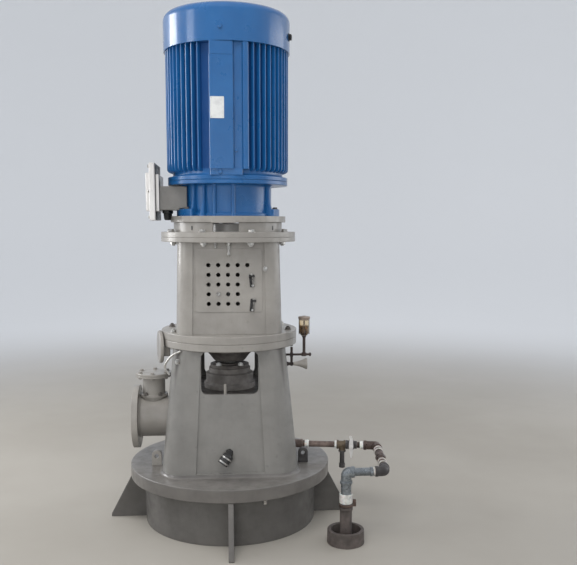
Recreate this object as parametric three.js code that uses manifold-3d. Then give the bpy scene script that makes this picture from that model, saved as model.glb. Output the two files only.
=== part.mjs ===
// Vertical turbine pump with its motor, from the floor up. Millimetres, +Z up.
// The origin is on the pump's axis at floor level. -Y is the side with the perforated guard,
// -X is the side of the discharge flange, and +X the side of the oiler and the drain line.
import * as THREE from 'three';
import { mergeVertices } from 'three/addons/utils/BufferGeometryUtils.js';
import Module from 'manifold-3d';

const wasm = await Module();
wasm.setup();

// Gap kept between two pieces that touch
const SEAT = 0.3;

// Base: ring on the floor, four radial ribs, round plate
const BASE_RING_R = 463;
const BASE_RING_WALL = 20;
const PLATE_R = 540;
const PLATE_BOTTOM = 250;
const PLATE_TOP = 318;
const BARREL_R = 300;
const RIB_THICKNESS = 26;
const RIB_TOP_R = 532;
const RIB_TOE_R = 655;
const RIB_TOE_HEIGHT = 14;

// Lower stool: a tapered square casting with round corners and a window in each side
const STOOL_TOP = 964;
const STOOL_HALF_BOTTOM = 355;
const STOOL_HALF_TOP = 290;
const STOOL_CORNER_R = 120;
const STOOL_PANEL_HALF = 176;
const STOOL_PANEL_DEPTH = 12;
const STOOL_WALL = 38;
const STOOL_FLOOR = 720;
const WINDOW_BOTTOM = 738;
const WINDOW_TOP = 956;
const WINDOW_HALF = 145;
const WINDOW_CORNER_R = 30;
const FLANGE_EYE_R = 232;
// Heights of the side panels' lower and upper edges, from the casting's foot and top
const STOOL_PANEL_FOOT = 22;
const STOOL_PANEL_HEAD = 26;

// Middle flange pair and upper lantern
const MIDDLE_FLANGE_R = 362;
const MIDDLE_SPLIT = 1001;
const MIDDLE_TOP = 1040;
const HOUSING_BORE_R = 125;
const LANTERN_TOP = 1507;
const LANTERN_HALF_BOTTOM = 272;
const LANTERN_HALF_TOP = 260;
const LANTERN_CORNER_R = 85;
const LANTERN_WALL = 22;
const LANTERN_PANEL_HALF = 186;
const LANTERN_PANEL_DEPTH = 10;
const ACCESS_HALF = 150;
const ACCESS_BOTTOM = 1178;
const ACCESS_TOP = 1455;
const ACCESS_CORNER_R = 20;
const TOP_EYE_R = 218;
const TOP_FLANGE_R = 355;
const TOP_SPLIT = 1531;

// Perforated coupling guards
const GUARD_HALF = 168;
const GUARD_BOTTOM = 1156;
const GUARD_TOP = 1476;
const GUARD_THICKNESS = 5;
const HOLE_R = 10.5;
const HOLE_PITCH = 48.8;
const HOLE_COLUMNS = 5;
const HOLE_ROWS = 5;
const HOLE_TOP_Z = 1393;
const HOLE_LEFT_X = -102;

// Adapter between lantern and motor
const ADAPTER_FLANGE_TOP = 1557;
const ADAPTER_BOX_R = 290;
const ADAPTER_BOX_WALL = 30;
const ADAPTER_BOX_TOP = 1606;
const ADAPTER_PLATE_R = 303;
const ADAPTER_PLATE_TOP = 1638;
const ADAPTER_PLATE_EYE_R = 150;
const ADAPTER_WINDOW_HALF = 64;
const ADAPTER_WINDOW_SILL = 3;
// The windows sit a little off the quarter turns
const ADAPTER_WINDOW_TURN = -2.7;

// Motor. Its foot is a slim ring with an ear at each side.
const FOOT_RING_R = 240;
const FOOT_RING_TOP = 1652;
const FOOT_FLANGE_R = 271;
const FOOT_FLANGE_TOP = 1674;
const FOOT_EARS = [{ middle: 180, halfSpan: 47 }, { middle: 0, halfSpan: 31 }];
const SKIRT_R = 228;
const MOTOR_RIM_R = 313;
const MOTOR_RIM_BOTTOM = 1796;
const MOTOR_RIM_SPLIT = 1816;
const MOTOR_RIM_TOP = 1837;
const MOTOR_BAND_TOP = 1866;
const MOTOR_BAND_R = 287;
// Ribs round the end bracket, in degrees from +X. The flared ones run out along the foot.
const FLARED_RIBS = [22, 67, 112, 157, 202, 223, 239, 330];
const SLIM_RIBS = [72.8, 96.4, 252.8, 276.4];
const FLARED_RIB_THICKNESS = 16;
const SLIM_RIB_THICKNESS = 10;
const SLIM_RIB_REACH = 11;
const SHAFT_ROOM_R = 38;
const SHAFT_ROOM_TOP = 1704;
const FRAME_TOP = 2466;
const FIN_ROOT_R = 284;
const FIN_TIP_R = 317;
// Fins on each half, from the first to the last, in degrees from the middle of the front
const FINS_PER_HALF = 22;
const FIRST_FIN = 24;
const LAST_FIN = 153;
const FIN_THICKNESS = 8;
const PAD_LEFT = -88;
const PAD_RIGHT = 30;
const PAD_FRONT = 322;
const BROAD_RIB_LEFT = 74;
const BROAD_RIB_RIGHT = 104;
const COVER_R = 325;
const COVER_TOP = 2653;
const COVER_SHOULDER_R = 38;
const GRILLE_R = 190;
const GRILLE_DEPTH = 14;
const NAMEPLATE = { left: -83, right: -16, bottom: 2104, top: 2206, thickness: 2.5 };

// Seal, bearing housing and rotor
const SEAL_FOOT_R = 138;
const SEAL_BODY_R = 128;
const SEAL_R = 112;
const SEAL_TOP = 830;
const SHAFT_R = 32;
const SLEEVE_R = 42;
const SLEEVE_ROOM_R = 48;
const SLEEVE_ROOM_TOP = 926;
const HOUSING_BOTTOM = 868;
const HOUSING_SHOULDER = 897;
const HOUSING_TOP = 1180;
const HOUSING_FLANGE_R = 168;
const HOUSING_NECK_R = 132;
const GLAND_R = 104;
const GLAND_HUB_R = 84;
const GLAND_STUDS = { angles: [52, 128, 232, 308], circleR: 94, radius: 8, top: 35 };
const COUPLING_R = 95;
const COUPLING_BOTTOM = 1240;
const COUPLING_TOP = 1440;
const COLLAR_R = 91;
const COLLAR_BOTTOM = 1544;
const COLLAR_TOP = 1602;

// Discharge nozzle, pointing to -X
const NOZZLE_Z = 561;
const NOZZLE_R = 109.5;
const NOZZLE_BORE_R = 100;
const NOZZLE_FLANGE_R = 170;
const NOZZLE_FACE_X = -520;
const NOZZLE_FLANGE_THICKNESS = 34;
const NOZZLE_BORE_END_X = -200;

// Covered neck on top of the nozzle: neck with a low collar, flange and blind cover
const VENT_X = -410;
const VENT_FOOT = 645;
const VENT_COLLAR_R = 74;
const VENT_COLLAR_BOTTOM = 674;
const VENT_COLLAR_TOP = 687;
const VENT_NECK_R = 60;
const VENT_FLANGE_R = 96;
const VENT_FLANGE_BOTTOM = 782;
const VENT_SPLIT = 793;
const VENT_COVER_TOP = 804;

// Lugs
const BASE_LUG = { width: 52, height: 82, thickness: 24, holeR: 12, holeZ: 52, x: 392, y: -112 };
// The lifting lug: a round disc at the middle flange's rim, on a block under the flange
const LIFTING_DISC = { angle: 192, radius: 86, thickness: 20, z: 954 };
const LIFTING_BLOCK = { inner: 324, halfWidth: 30, bottom: 905 };

// Hose nipple low on the front of the stool
const HOSE_NIPPLE = { x: -6, z: 444, reach: 34, pipeR: 17, socketR: 28, socketRun: [-36, -14, -48] };

// Motor terminal box on the left of the end bracket
const BOX_BODY_RIGHT = -210;
const BOX_BODY_LEFT = -350;
const BOX_HALF_WIDTH = 115;
const BOX_BOTTOM = 1668;
const BOX_TOP = 1790;
const LID_HALF_WIDTH = 160;
const LID_BOTTOM = 1615;
const LID_TOP = 1905;
const LID_THICKNESS = 30;
const LID_BOSS_MARGIN = 48;
const LID_BOSS_HEIGHT = 22;
const BOX_FLANGE = { thickness: 18, side: 22, below: 6, above: 58 };
const GLAND = { x: -318, y: 52, nutR: 24, nutHeight: 16, neckR: 18, length: 50 };

// Oiler on the front right corner of the stool
const OILER_X = 390;
const OILER_Y = -170;
const OILER_ARM_Z = 919;
const OILER_ARM_END_X = 428;
const OILER_HORN_Z = 870;
const OILER_ARM_R = 6;
const OILER_RISER_R = 7;
const OILER_RISER_TOP = 960;
const OILER_STEM_R = 8;
const OILER_GLASS_R = 27;
const OILER_GLASS_BOTTOM = 1020;
const OILER_GLASS_TOP = 1106;
const OILER_CAP_TOP = 1123;

// Drain line on the right: inlet pipe, ball valve, loop, standpipe, floor cup
const DRAIN_START = [342, 20, 385];
const DRAIN_HEADING_DEG = -10;
const DRAIN_PIPE_R = 17;
const DRAIN_FITTING_R = 24;
const DRAIN_COUPLING_LENGTH = 62;
const DRAIN_TEE_AT = 281;
const DRAIN_TEE_START = 250;
const DRIP_LEG_R = 14;
const DRIP_LEG_BOTTOM = 255;
const DRAIN_VALVE_AT = 331;
const DRAIN_VALVE_LENGTH = 62;
const VALVE_BELLY_R = 30;
const VALVE_END_R = 22;
const DRAIN_LOOP_AT = 470;
const LOOP_SOCKET = 72;
const LOOP_CORNER = [775, -450];
// The return pipe lies a little lower than the inlet
const RETURN_Z = 366;
const RETURN_PIPE_R = 21;
const STANDPIPE_AT = [578, -450];
const STANDPIPE_R = 27;
const STANDPIPE_LOWER_R = 31;
const STANDPIPE_SPLIT = 205;
const CUP_R = 94;
const CUP_INNER_R = 72;
const CUP_HEIGHT = 72;
const CUP_FLOOR = 14;
// The valve's stem points forwards and carries a flat two-armed handle
const STEM_R = 9;
const HANDLE_REACH = 45;
const HANDLE_THICKNESS = 4;
const HANDLE_HALF_LENGTH = 62;
const HANDLE_HALF_WIDTH = 13;

const finish = (color, roughness, metalness) =>
  new THREE.MeshStandardMaterial({ color, roughness, metalness });
const greyPaint = finish(0x85827c, 0.45, 0.1);
const darkPaint = finish(0x55524f, 0.6, 0.1);
const bluePaint = finish(0x2f6cae, 0.3, 0.1);
const castIron = finish(0x3d3b3a, 0.6, 0.6);
const steel = finish(0xa9a8a5, 0.35, 0.9);
const galvanised = finish(0x8b959b, 0.5, 0.7);
const rustySteel = finish(0x6d5a50, 0.7, 0.5);
const amberGlass = finish(0xb36a1e, 0.1, 0);
const whitePlate = finish(0xe4e4e0, 0.4, 0.1);

const pump = new THREE.Group();

function addPiece(name, geometry, material) {
  const mesh = new THREE.Mesh(geometry, material);
  mesh.name = name;
  pump.add(mesh);
}

// A closed mesh as a solid that can be joined and cut
function toSolid(geometry) {
  const bare = geometry.clone();
  bare.deleteAttribute('normal');
  bare.deleteAttribute('uv');
  const merged = mergeVertices(bare, 1e-3);
  return new wasm.Manifold(new wasm.Mesh({
    numProp: 3,
    vertProperties: new Float32Array(merged.attributes.position.array),
    triVerts: new Uint32Array(merged.index.array),
  }));
}

function fromSolid(solid) {
  const mesh = solid.getMesh();
  const geometry = new THREE.BufferGeometry();
  geometry.setAttribute('position', new THREE.BufferAttribute(new Float32Array(mesh.vertProperties), 3));
  geometry.setIndex(new THREE.BufferAttribute(new Uint32Array(mesh.triVerts), 1));
  geometry.computeVertexNormals();
  return geometry;
}

function join(...solids) {
  return solids.reduce((whole, next) => whole.add(next));
}

function cut(body, ...tools) {
  return tools.reduce((whole, tool) => whole.subtract(tool), body);
}

// A solid of revolution about Z from [radius, height] points that start and end on the axis
function turned(points, sides = 48) {
  const profile = points.map(([r, z]) => new THREE.Vector2(r, z));
  return toSolid(new THREE.LatheGeometry(profile, sides).rotateX(Math.PI / 2));
}

function disc(radius, bottom, top, sides = 48) {
  return turned([[0, bottom], [radius, bottom], [radius, top], [0, top]], sides);
}

function ring(outer, inner, bottom, top, sides = 48) {
  return disc(outer, bottom, top, sides).subtract(disc(inner, bottom - 1, top + 1, sides));
}

function box(x0, y0, z0, x1, y1, z1) {
  const block = new THREE.BoxGeometry(x1 - x0, y1 - y0, z1 - z0);
  block.translate((x0 + x1) / 2, (y0 + y1) / 2, (z0 + z1) / 2);
  return toSolid(block);
}

// A round bar between two points
function bar(from, to, radius, sides = 20) {
  const start = new THREE.Vector3(...from);
  const end = new THREE.Vector3(...to);
  const length = start.distanceTo(end);
  const rod = new THREE.CylinderGeometry(radius, radius, length, sides);
  rod.translate(0, length / 2, 0);
  const turn = new THREE.Quaternion().setFromUnitVectors(
    new THREE.Vector3(0, 1, 0), end.clone().sub(start).normalize());
  rod.applyQuaternion(turn);
  rod.translate(...from);
  return toSolid(rod);
}

// The outline of a square with round corners
function roundedSquare(half, radius, steps = 6) {
  const shape = new THREE.Shape();
  const inner = half - radius;
  const corners = [[inner, inner, 0], [-inner, inner, 1], [-inner, -inner, 2], [inner, -inner, 3]];
  const points = [];
  for (const [x, y, quarter] of corners) {
    for (let step = 0; step <= steps; step++) {
      const angle = (quarter + step / steps) * Math.PI / 2;
      points.push(new THREE.Vector2(x + radius * Math.cos(angle), y + radius * Math.sin(angle)));
    }
  }
  shape.setFromPoints(points);
  return shape;
}

function extruded(shape, bottom, top, curveSegments = 6) {
  const body = new THREE.ExtrudeGeometry(shape, {
    depth: top - bottom, bevelEnabled: false, curveSegments });
  body.translate(0, 0, bottom);
  return toSolid(body);
}

// Narrows a solid linearly in X and Y, by scale(z)
function tapered(solid, scale) {
  return solid.warp((point) => {
    const factor = scale(point[2]);
    point[0] *= factor;
    point[1] *= factor;
  });
}

// A rectangle with round corners, standing in the plane across Y, as a cutter for a front window
function windowCutter(half, bottom, top, radius, y0, y1) {
  const shape = new THREE.Shape();
  shape.moveTo(-half + radius, bottom);
  shape.lineTo(half - radius, bottom);
  shape.absarc(half - radius, bottom + radius, radius, -Math.PI / 2, 0);
  shape.lineTo(half, top - radius);
  shape.absarc(half - radius, top - radius, radius, 0, Math.PI / 2);
  shape.lineTo(-half + radius, top);
  shape.absarc(-half + radius, top - radius, radius, Math.PI / 2, Math.PI);
  shape.lineTo(-half, bottom + radius);
  shape.absarc(-half + radius, bottom + radius, radius, Math.PI, Math.PI * 1.5);
  const body = new THREE.ExtrudeGeometry(shape, { depth: y1 - y0, bevelEnabled: false, curveSegments: 4 });
  body.rotateX(Math.PI / 2);
  body.translate(0, y1, 0);
  return toSolid(body);
}

const quarterTurns = [0, 90, 180, 270];

function aroundAxis(solid, angles) {
  return angles.map((angle) => solid.rotate([0, 0, angle]));
}

// Base

function makeBase() {
  addPiece('base_ring',
    fromSolid(ring(BASE_RING_R, BASE_RING_R - BASE_RING_WALL, 0, PLATE_BOTTOM - SEAT, 64)), darkPaint);
  addPiece('pump_barrel', fromSolid(disc(BARREL_R, 0, PLATE_BOTTOM - SEAT, 48)), darkPaint);
  addPiece('base_plate', fromSolid(disc(PLATE_R, PLATE_BOTTOM, PLATE_TOP, 64)), greyPaint);

  const outline = new THREE.Shape([
    new THREE.Vector2(BASE_RING_R + SEAT, 0),
    new THREE.Vector2(RIB_TOE_R, 0),
    new THREE.Vector2(RIB_TOE_R, RIB_TOE_HEIGHT),
    new THREE.Vector2(RIB_TOP_R, PLATE_BOTTOM - SEAT),
    new THREE.Vector2(BASE_RING_R + SEAT, PLATE_BOTTOM - SEAT),
  ]);
  const sides = { right: 0, back: 90, left: 180, front: 270 };
  for (const [side, angle] of Object.entries(sides)) {
    const rib = new THREE.ExtrudeGeometry(outline, { depth: RIB_THICKNESS, bevelEnabled: false });
    rib.translate(0, 0, -RIB_THICKNESS / 2);
    rib.rotateX(Math.PI / 2);
    rib.rotateZ(THREE.MathUtils.degToRad(angle));
    addPiece(`base_rib_${side}`, rib, darkPaint);
  }
}

// Lower stool with its discharge nozzle

const stoolHalfAt = (z) => THREE.MathUtils.mapLinear(
  z, PLATE_TOP, STOOL_TOP, STOOL_HALF_BOTTOM, STOOL_HALF_TOP);
const stoolScale = (z) => stoolHalfAt(z) / STOOL_HALF_BOTTOM;
// Distance from the axis to a side's recessed face
const stoolFaceAt = (z) => stoolHalfAt(z) - STOOL_PANEL_DEPTH * stoolScale(z);
// Everything inside the stool's sides, grown by the seat gap, to cut what is mounted on them.
// The depth is that of the recessed faces, or 0 at the corner columns.
function stoolRoom(depth = STOOL_PANEL_DEPTH) {
  const half = STOOL_HALF_BOTTOM - depth;
  return tapered(box(-half, -half, PLATE_TOP, half, half, STOOL_TOP), (z) => stoolScale(z) + SEAT / half);
}

function makeStool() {
  const foot = PLATE_TOP + SEAT;
  const outer = extruded(roundedSquare(STOOL_HALF_BOTTOM, STOOL_CORNER_R), foot, STOOL_TOP - SEAT);
  const inner = extruded(
    roundedSquare(STOOL_HALF_BOTTOM - STOOL_WALL, STOOL_CORNER_R - STOOL_WALL), STOOL_FLOOR, STOOL_TOP + 1);
  const panel = box(-STOOL_PANEL_HALF, -STOOL_HALF_BOTTOM - 50, foot + STOOL_PANEL_FOOT,
    STOOL_PANEL_HALF, -STOOL_HALF_BOTTOM + STOOL_PANEL_DEPTH, STOOL_TOP - STOOL_PANEL_HEAD);
  const shell = tapered(cut(outer, inner, ...aroundAxis(panel, quarterTurns)), stoolScale);

  const window = windowCutter(
    WINDOW_HALF, WINDOW_BOTTOM, WINDOW_TOP, WINDOW_CORNER_R, -STOOL_HALF_BOTTOM - 20, -150);
  const bore = bar([NOZZLE_FACE_X, 0, NOZZLE_Z], [NOZZLE_BORE_END_X, 0, NOZZLE_Z], NOZZLE_BORE_R, 32);
  const stool = cut(shell, ...aroundAxis(window, quarterTurns), bore);
  addPiece('lower_stool', fromSolid(stool), greyPaint);
  addPiece('stool_top_flange',
    fromSolid(ring(MIDDLE_FLANGE_R, FLANGE_EYE_R, STOOL_TOP, MIDDLE_SPLIT - SEAT)), greyPaint);

  const rootX = -stoolHalfAt(NOZZLE_Z) + STOOL_PANEL_DEPTH;
  const flangeBack = NOZZLE_FACE_X + NOZZLE_FLANGE_THICKNESS;
  const pipe = bar([NOZZLE_FACE_X + 4, 0, NOZZLE_Z], [rootX + 60, 0, NOZZLE_Z], NOZZLE_R, 32);
  const rim = bar([NOZZLE_FACE_X, 0, NOZZLE_Z], [flangeBack, 0, NOZZLE_Z], NOZZLE_FLANGE_R, 40);
  const through = bar([NOZZLE_FACE_X - 10, 0, NOZZLE_Z], [NOZZLE_BORE_END_X, 0, NOZZLE_Z], NOZZLE_BORE_R, 32);
  const nozzle = cut(join(pipe, rim), stoolRoom(), through);
  addPiece('discharge_nozzle', fromSolid(nozzle), greyPaint);
}

function makeVent() {
  const neck = join(
    disc(VENT_NECK_R, VENT_FOOT, VENT_FLANGE_BOTTOM + 1, 32),
    disc(VENT_COLLAR_R, VENT_COLLAR_BOTTOM, VENT_COLLAR_TOP, 32),
    disc(VENT_FLANGE_R, VENT_FLANGE_BOTTOM, VENT_SPLIT - SEAT, 40)).translate([VENT_X, 0, 0]);
  const underPipe = bar([NOZZLE_FACE_X, 0, NOZZLE_Z], [NOZZLE_BORE_END_X, 0, NOZZLE_Z], NOZZLE_R + SEAT, 32);
  addPiece('vent_neck', fromSolid(cut(neck, underPipe)), greyPaint);
  addPiece('vent_cover',
    fromSolid(disc(VENT_FLANGE_R, VENT_SPLIT, VENT_COVER_TOP, 40).translate([VENT_X, 0, 0])), greyPaint);
}

// Lifting lugs

function lugPlate({ width, height, thickness, holeR, holeZ }) {
  const shape = new THREE.Shape();
  const crown = width / 2;
  shape.moveTo(-crown, 0);
  shape.lineTo(crown, 0);
  shape.lineTo(crown, height - crown);
  shape.absarc(0, height - crown, crown, 0, Math.PI);
  const hole = new THREE.Path();
  hole.absarc(0, holeZ, holeR, 0, Math.PI * 2, true);
  shape.holes.push(hole);
  const plate = new THREE.ExtrudeGeometry(shape, { depth: thickness, bevelEnabled: false, curveSegments: 12 });
  plate.translate(0, 0, -thickness / 2);
  plate.rotateX(Math.PI / 2);
  return plate;
}

function makeLugs() {
  for (const [side, sign] of [['left', -1], ['right', 1]]) {
    const lug = lugPlate(BASE_LUG);
    lug.translate(sign * BASE_LUG.x, BASE_LUG.y, PLATE_TOP + SEAT);
    addPiece(`base_lug_${side}`, lug, darkPaint);
  }
  const inner = MIDDLE_FLANGE_R + SEAT;
  const { angle, radius, thickness, z } = LIFTING_DISC;
  const round = bar([inner, 0, z], [inner + thickness, 0, z], radius, 40);
  const block = box(LIFTING_BLOCK.inner, -LIFTING_BLOCK.halfWidth, LIFTING_BLOCK.bottom,
    inner + 1, LIFTING_BLOCK.halfWidth, STOOL_TOP - SEAT);
  addPiece('lifting_lug', fromSolid(join(round, block).rotate([0, 0, angle])), greyPaint);
}

// Seal, bearing housing and rotor

function makeSealAndBearing() {
  addPiece('seal_chamber', fromSolid(turned([
    [0, STOOL_FLOOR + SEAT], [SEAL_FOOT_R, STOOL_FLOOR + SEAT], [SEAL_FOOT_R, STOOL_FLOOR + 30],
    [SEAL_BODY_R, STOOL_FLOOR + 34], [SEAL_BODY_R, SEAL_TOP - 30], [SEAL_R, SEAL_TOP - 24],
    [SEAL_R, SEAL_TOP], [0, SEAL_TOP],
  ]).subtract(disc(SHAFT_R + 5, SEAL_TOP - 60, SEAL_TOP + 1, 32))), castIron);

  const gland = turned([
    [0, SEAL_TOP + SEAT], [GLAND_R, SEAL_TOP + SEAT], [GLAND_R, SEAL_TOP + 18],
    [GLAND_HUB_R, SEAL_TOP + 20], [GLAND_HUB_R, SEAL_TOP + 26], [0, SEAL_TOP + 26],
  ], 40);
  const studs = GLAND_STUDS.angles.map((angle) => {
    const turn = THREE.MathUtils.degToRad(angle);
    const x = GLAND_STUDS.circleR * Math.cos(turn);
    const y = GLAND_STUDS.circleR * Math.sin(turn);
    return bar([x, y, SEAL_TOP + 12], [x, y, SEAL_TOP + GLAND_STUDS.top], GLAND_STUDS.radius, 6);
  });
  addPiece('seal_gland',
    fromSolid(cut(join(gland, ...studs), disc(SHAFT_R + 5, SEAL_TOP - 1, SEAL_TOP + 30, 32))), castIron);

  const housing = turned([
    [0, HOUSING_BOTTOM], [GLAND_HUB_R, HOUSING_BOTTOM], [HOUSING_BORE_R - 20, HOUSING_SHOULDER],
    [HOUSING_BORE_R - SEAT, HOUSING_SHOULDER + 20],
    [HOUSING_BORE_R - SEAT, MIDDLE_TOP + SEAT], [HOUSING_FLANGE_R, MIDDLE_TOP + SEAT],
    [HOUSING_FLANGE_R, MIDDLE_TOP + 24], [HOUSING_NECK_R, MIDDLE_TOP + 24],
    [HOUSING_NECK_R, HOUSING_TOP - 20], [HOUSING_NECK_R - 20, HOUSING_TOP], [0, HOUSING_TOP],
  ]);
  const bore = disc(SHAFT_R + SEAT, HOUSING_BOTTOM - 1, HOUSING_TOP + 1, 32);
  const sleeveRoom = disc(SLEEVE_ROOM_R, HOUSING_BOTTOM - 1, SLEEVE_ROOM_TOP, 32);
  addPiece('bearing_housing', fromSolid(cut(housing, bore, sleeveRoom)), greyPaint);
}

function makeRotor() {
  const end = ADAPTER_PLATE_TOP + 60;
  addPiece('pump_shaft', fromSolid(disc(SHAFT_R, SEAL_TOP - 40, end, 32)), steel);
  addPiece('shaft_sleeve',
    fromSolid(ring(SLEEVE_R, SHAFT_R + SEAT, SEAL_TOP + 31, SLEEVE_ROOM_TOP - 5, 32)), castIron);
  const coupling = turned([
    [0, COUPLING_BOTTOM], [62, COUPLING_BOTTOM], [62, COUPLING_BOTTOM + 60], [COUPLING_R, COUPLING_BOTTOM + 66],
    [COUPLING_R, COUPLING_BOTTOM + 88], [72, COUPLING_BOTTOM + 90], [72, COUPLING_TOP - 90],
    [COUPLING_R, COUPLING_TOP - 88], [COUPLING_R, COUPLING_TOP - 66], [62, COUPLING_TOP - 60],
    [62, COUPLING_TOP], [0, COUPLING_TOP],
  ], 32);
  const bore = disc(SHAFT_R + SEAT, COUPLING_BOTTOM - 1, COUPLING_TOP + 1, 32);
  addPiece('shaft_coupling', fromSolid(coupling.subtract(bore)), steel);
  // The collar behind the adapter's windows
  addPiece('shaft_collar',
    fromSolid(ring(COLLAR_R, SHAFT_R + SEAT, COLLAR_BOTTOM, COLLAR_TOP, 40)), castIron);
}

// Upper lantern and its guards

const lanternHalfAt = (z) => THREE.MathUtils.mapLinear(
  z, MIDDLE_TOP, LANTERN_TOP, LANTERN_HALF_BOTTOM, LANTERN_HALF_TOP);
const lanternScale = (z) => lanternHalfAt(z) / LANTERN_HALF_BOTTOM;

function makeLantern() {
  const outer = extruded(
    roundedSquare(LANTERN_HALF_BOTTOM, LANTERN_CORNER_R), MIDDLE_TOP + SEAT, LANTERN_TOP - SEAT);
  const inner = extruded(roundedSquare(
    LANTERN_HALF_BOTTOM - LANTERN_WALL, LANTERN_CORNER_R - LANTERN_WALL), MIDDLE_TOP - 3, LANTERN_TOP + 3);
  const panel = box(-LANTERN_PANEL_HALF, -LANTERN_HALF_BOTTOM - 50, MIDDLE_TOP - 1,
    LANTERN_PANEL_HALF, -LANTERN_HALF_BOTTOM + LANTERN_PANEL_DEPTH, LANTERN_TOP + 1);
  const shell = tapered(cut(outer, inner, ...aroundAxis(panel, quarterTurns)), lanternScale);
  const access = windowCutter(
    ACCESS_HALF, ACCESS_BOTTOM, ACCESS_TOP, ACCESS_CORNER_R, -LANTERN_HALF_BOTTOM - 20, -150);
  addPiece('upper_lantern', fromSolid(cut(shell, ...aroundAxis(access, [0, 180]))), greyPaint);
  addPiece('lantern_base_flange',
    fromSolid(ring(MIDDLE_FLANGE_R, HOUSING_BORE_R, MIDDLE_SPLIT, MIDDLE_TOP)), greyPaint);
  addPiece('lantern_top_flange',
    fromSolid(ring(TOP_FLANGE_R, TOP_EYE_R, LANTERN_TOP, TOP_SPLIT - SEAT)), greyPaint);
}

function makeGuard(name, angle) {
  const face = LANTERN_HALF_BOTTOM - LANTERN_PANEL_DEPTH;
  const blank = box(-GUARD_HALF, -face - GUARD_THICKNESS - SEAT, GUARD_BOTTOM, GUARD_HALF, -face - SEAT, GUARD_TOP);
  const holes = [];
  for (let row = 0; row < HOLE_ROWS; row++) {
    const columns = row === 0 ? HOLE_COLUMNS : HOLE_COLUMNS - 1;
    for (let column = 0; column < columns; column++) {
      const x = HOLE_LEFT_X + column * HOLE_PITCH;
      const z = HOLE_TOP_Z - row * HOLE_PITCH;
      holes.push(bar([x, -face - 40, z], [x, -face + 40, z], HOLE_R, 8));
    }
  }
  // The panel follows the slope of the lantern's face
  const leaning = cut(blank, ...holes).warp((point) => {
    point[1] += face * (1 - lanternScale(point[2]));
  });
  addPiece(name, fromSolid(leaning.rotate([0, 0, angle])), greyPaint);
}

// Adapter

function makeAdapter() {
  const flange = ring(TOP_FLANGE_R, ADAPTER_BOX_R - ADAPTER_BOX_WALL, TOP_SPLIT, ADAPTER_FLANGE_TOP);
  const wall = ring(ADAPTER_BOX_R, ADAPTER_BOX_R - ADAPTER_BOX_WALL, ADAPTER_FLANGE_TOP - 2, ADAPTER_BOX_TOP);
  const window = box(-ADAPTER_WINDOW_HALF, -ADAPTER_BOX_R - 20, ADAPTER_FLANGE_TOP + ADAPTER_WINDOW_SILL,
    ADAPTER_WINDOW_HALF, -150, ADAPTER_BOX_TOP + 1);
  const windows = aroundAxis(window, quarterTurns.map((turn) => turn + ADAPTER_WINDOW_TURN));
  addPiece('motor_adapter', fromSolid(cut(join(flange, wall), ...windows)), greyPaint);
  addPiece('adapter_plate',
    fromSolid(ring(ADAPTER_PLATE_R, ADAPTER_PLATE_EYE_R, ADAPTER_BOX_TOP + SEAT, ADAPTER_PLATE_TOP)), greyPaint);
}

// Motor

const BRACKET_BOTTOM = ADAPTER_PLATE_TOP + SEAT;

// A rib of the end bracket that runs out along the foot
function flaredRib() {
  const outline = new THREE.Shape([
    new THREE.Vector2(SKIRT_R - 6, BRACKET_BOTTOM),
    new THREE.Vector2(FOOT_FLANGE_R - 4, BRACKET_BOTTOM),
    new THREE.Vector2(FOOT_FLANGE_R - 4, BRACKET_BOTTOM + 12),
    new THREE.Vector2(SKIRT_R + 28, FOOT_FLANGE_TOP),
    new THREE.Vector2(SKIRT_R + 20, FOOT_FLANGE_TOP + 28),
    new THREE.Vector2(SKIRT_R + 16, MOTOR_RIM_BOTTOM + 2),
    new THREE.Vector2(SKIRT_R - 6, MOTOR_RIM_BOTTOM + 2),
  ]);
  const plate = new THREE.ExtrudeGeometry(outline, { depth: FLARED_RIB_THICKNESS, bevelEnabled: false });
  plate.translate(0, 0, -FLARED_RIB_THICKNESS / 2);
  plate.rotateX(Math.PI / 2);
  return toSolid(plate);
}

function slimRib() {
  const across = SLIM_RIB_THICKNESS / 2;
  return box(SKIRT_R - 6, -across, BRACKET_BOTTOM, SKIRT_R + SLIM_RIB_REACH, across, MOTOR_RIM_BOTTOM + 2);
}

// A sector of the foot flange
function footEar({ middle, halfSpan }) {
  const reach = FOOT_FLANGE_R * 1.5;
  const turn = THREE.MathUtils.degToRad(halfSpan);
  const wedge = new THREE.Shape([
    new THREE.Vector2(0, 0),
    new THREE.Vector2(reach * Math.cos(turn), -reach * Math.sin(turn)),
    new THREE.Vector2(reach * Math.cos(turn), reach * Math.sin(turn)),
  ]);
  return extruded(wedge, BRACKET_BOTTOM - 1, FOOT_FLANGE_TOP + 1)
    .intersect(disc(FOOT_FLANGE_R, BRACKET_BOTTOM, FOOT_FLANGE_TOP))
    .rotate([0, 0, middle]);
}

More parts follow.
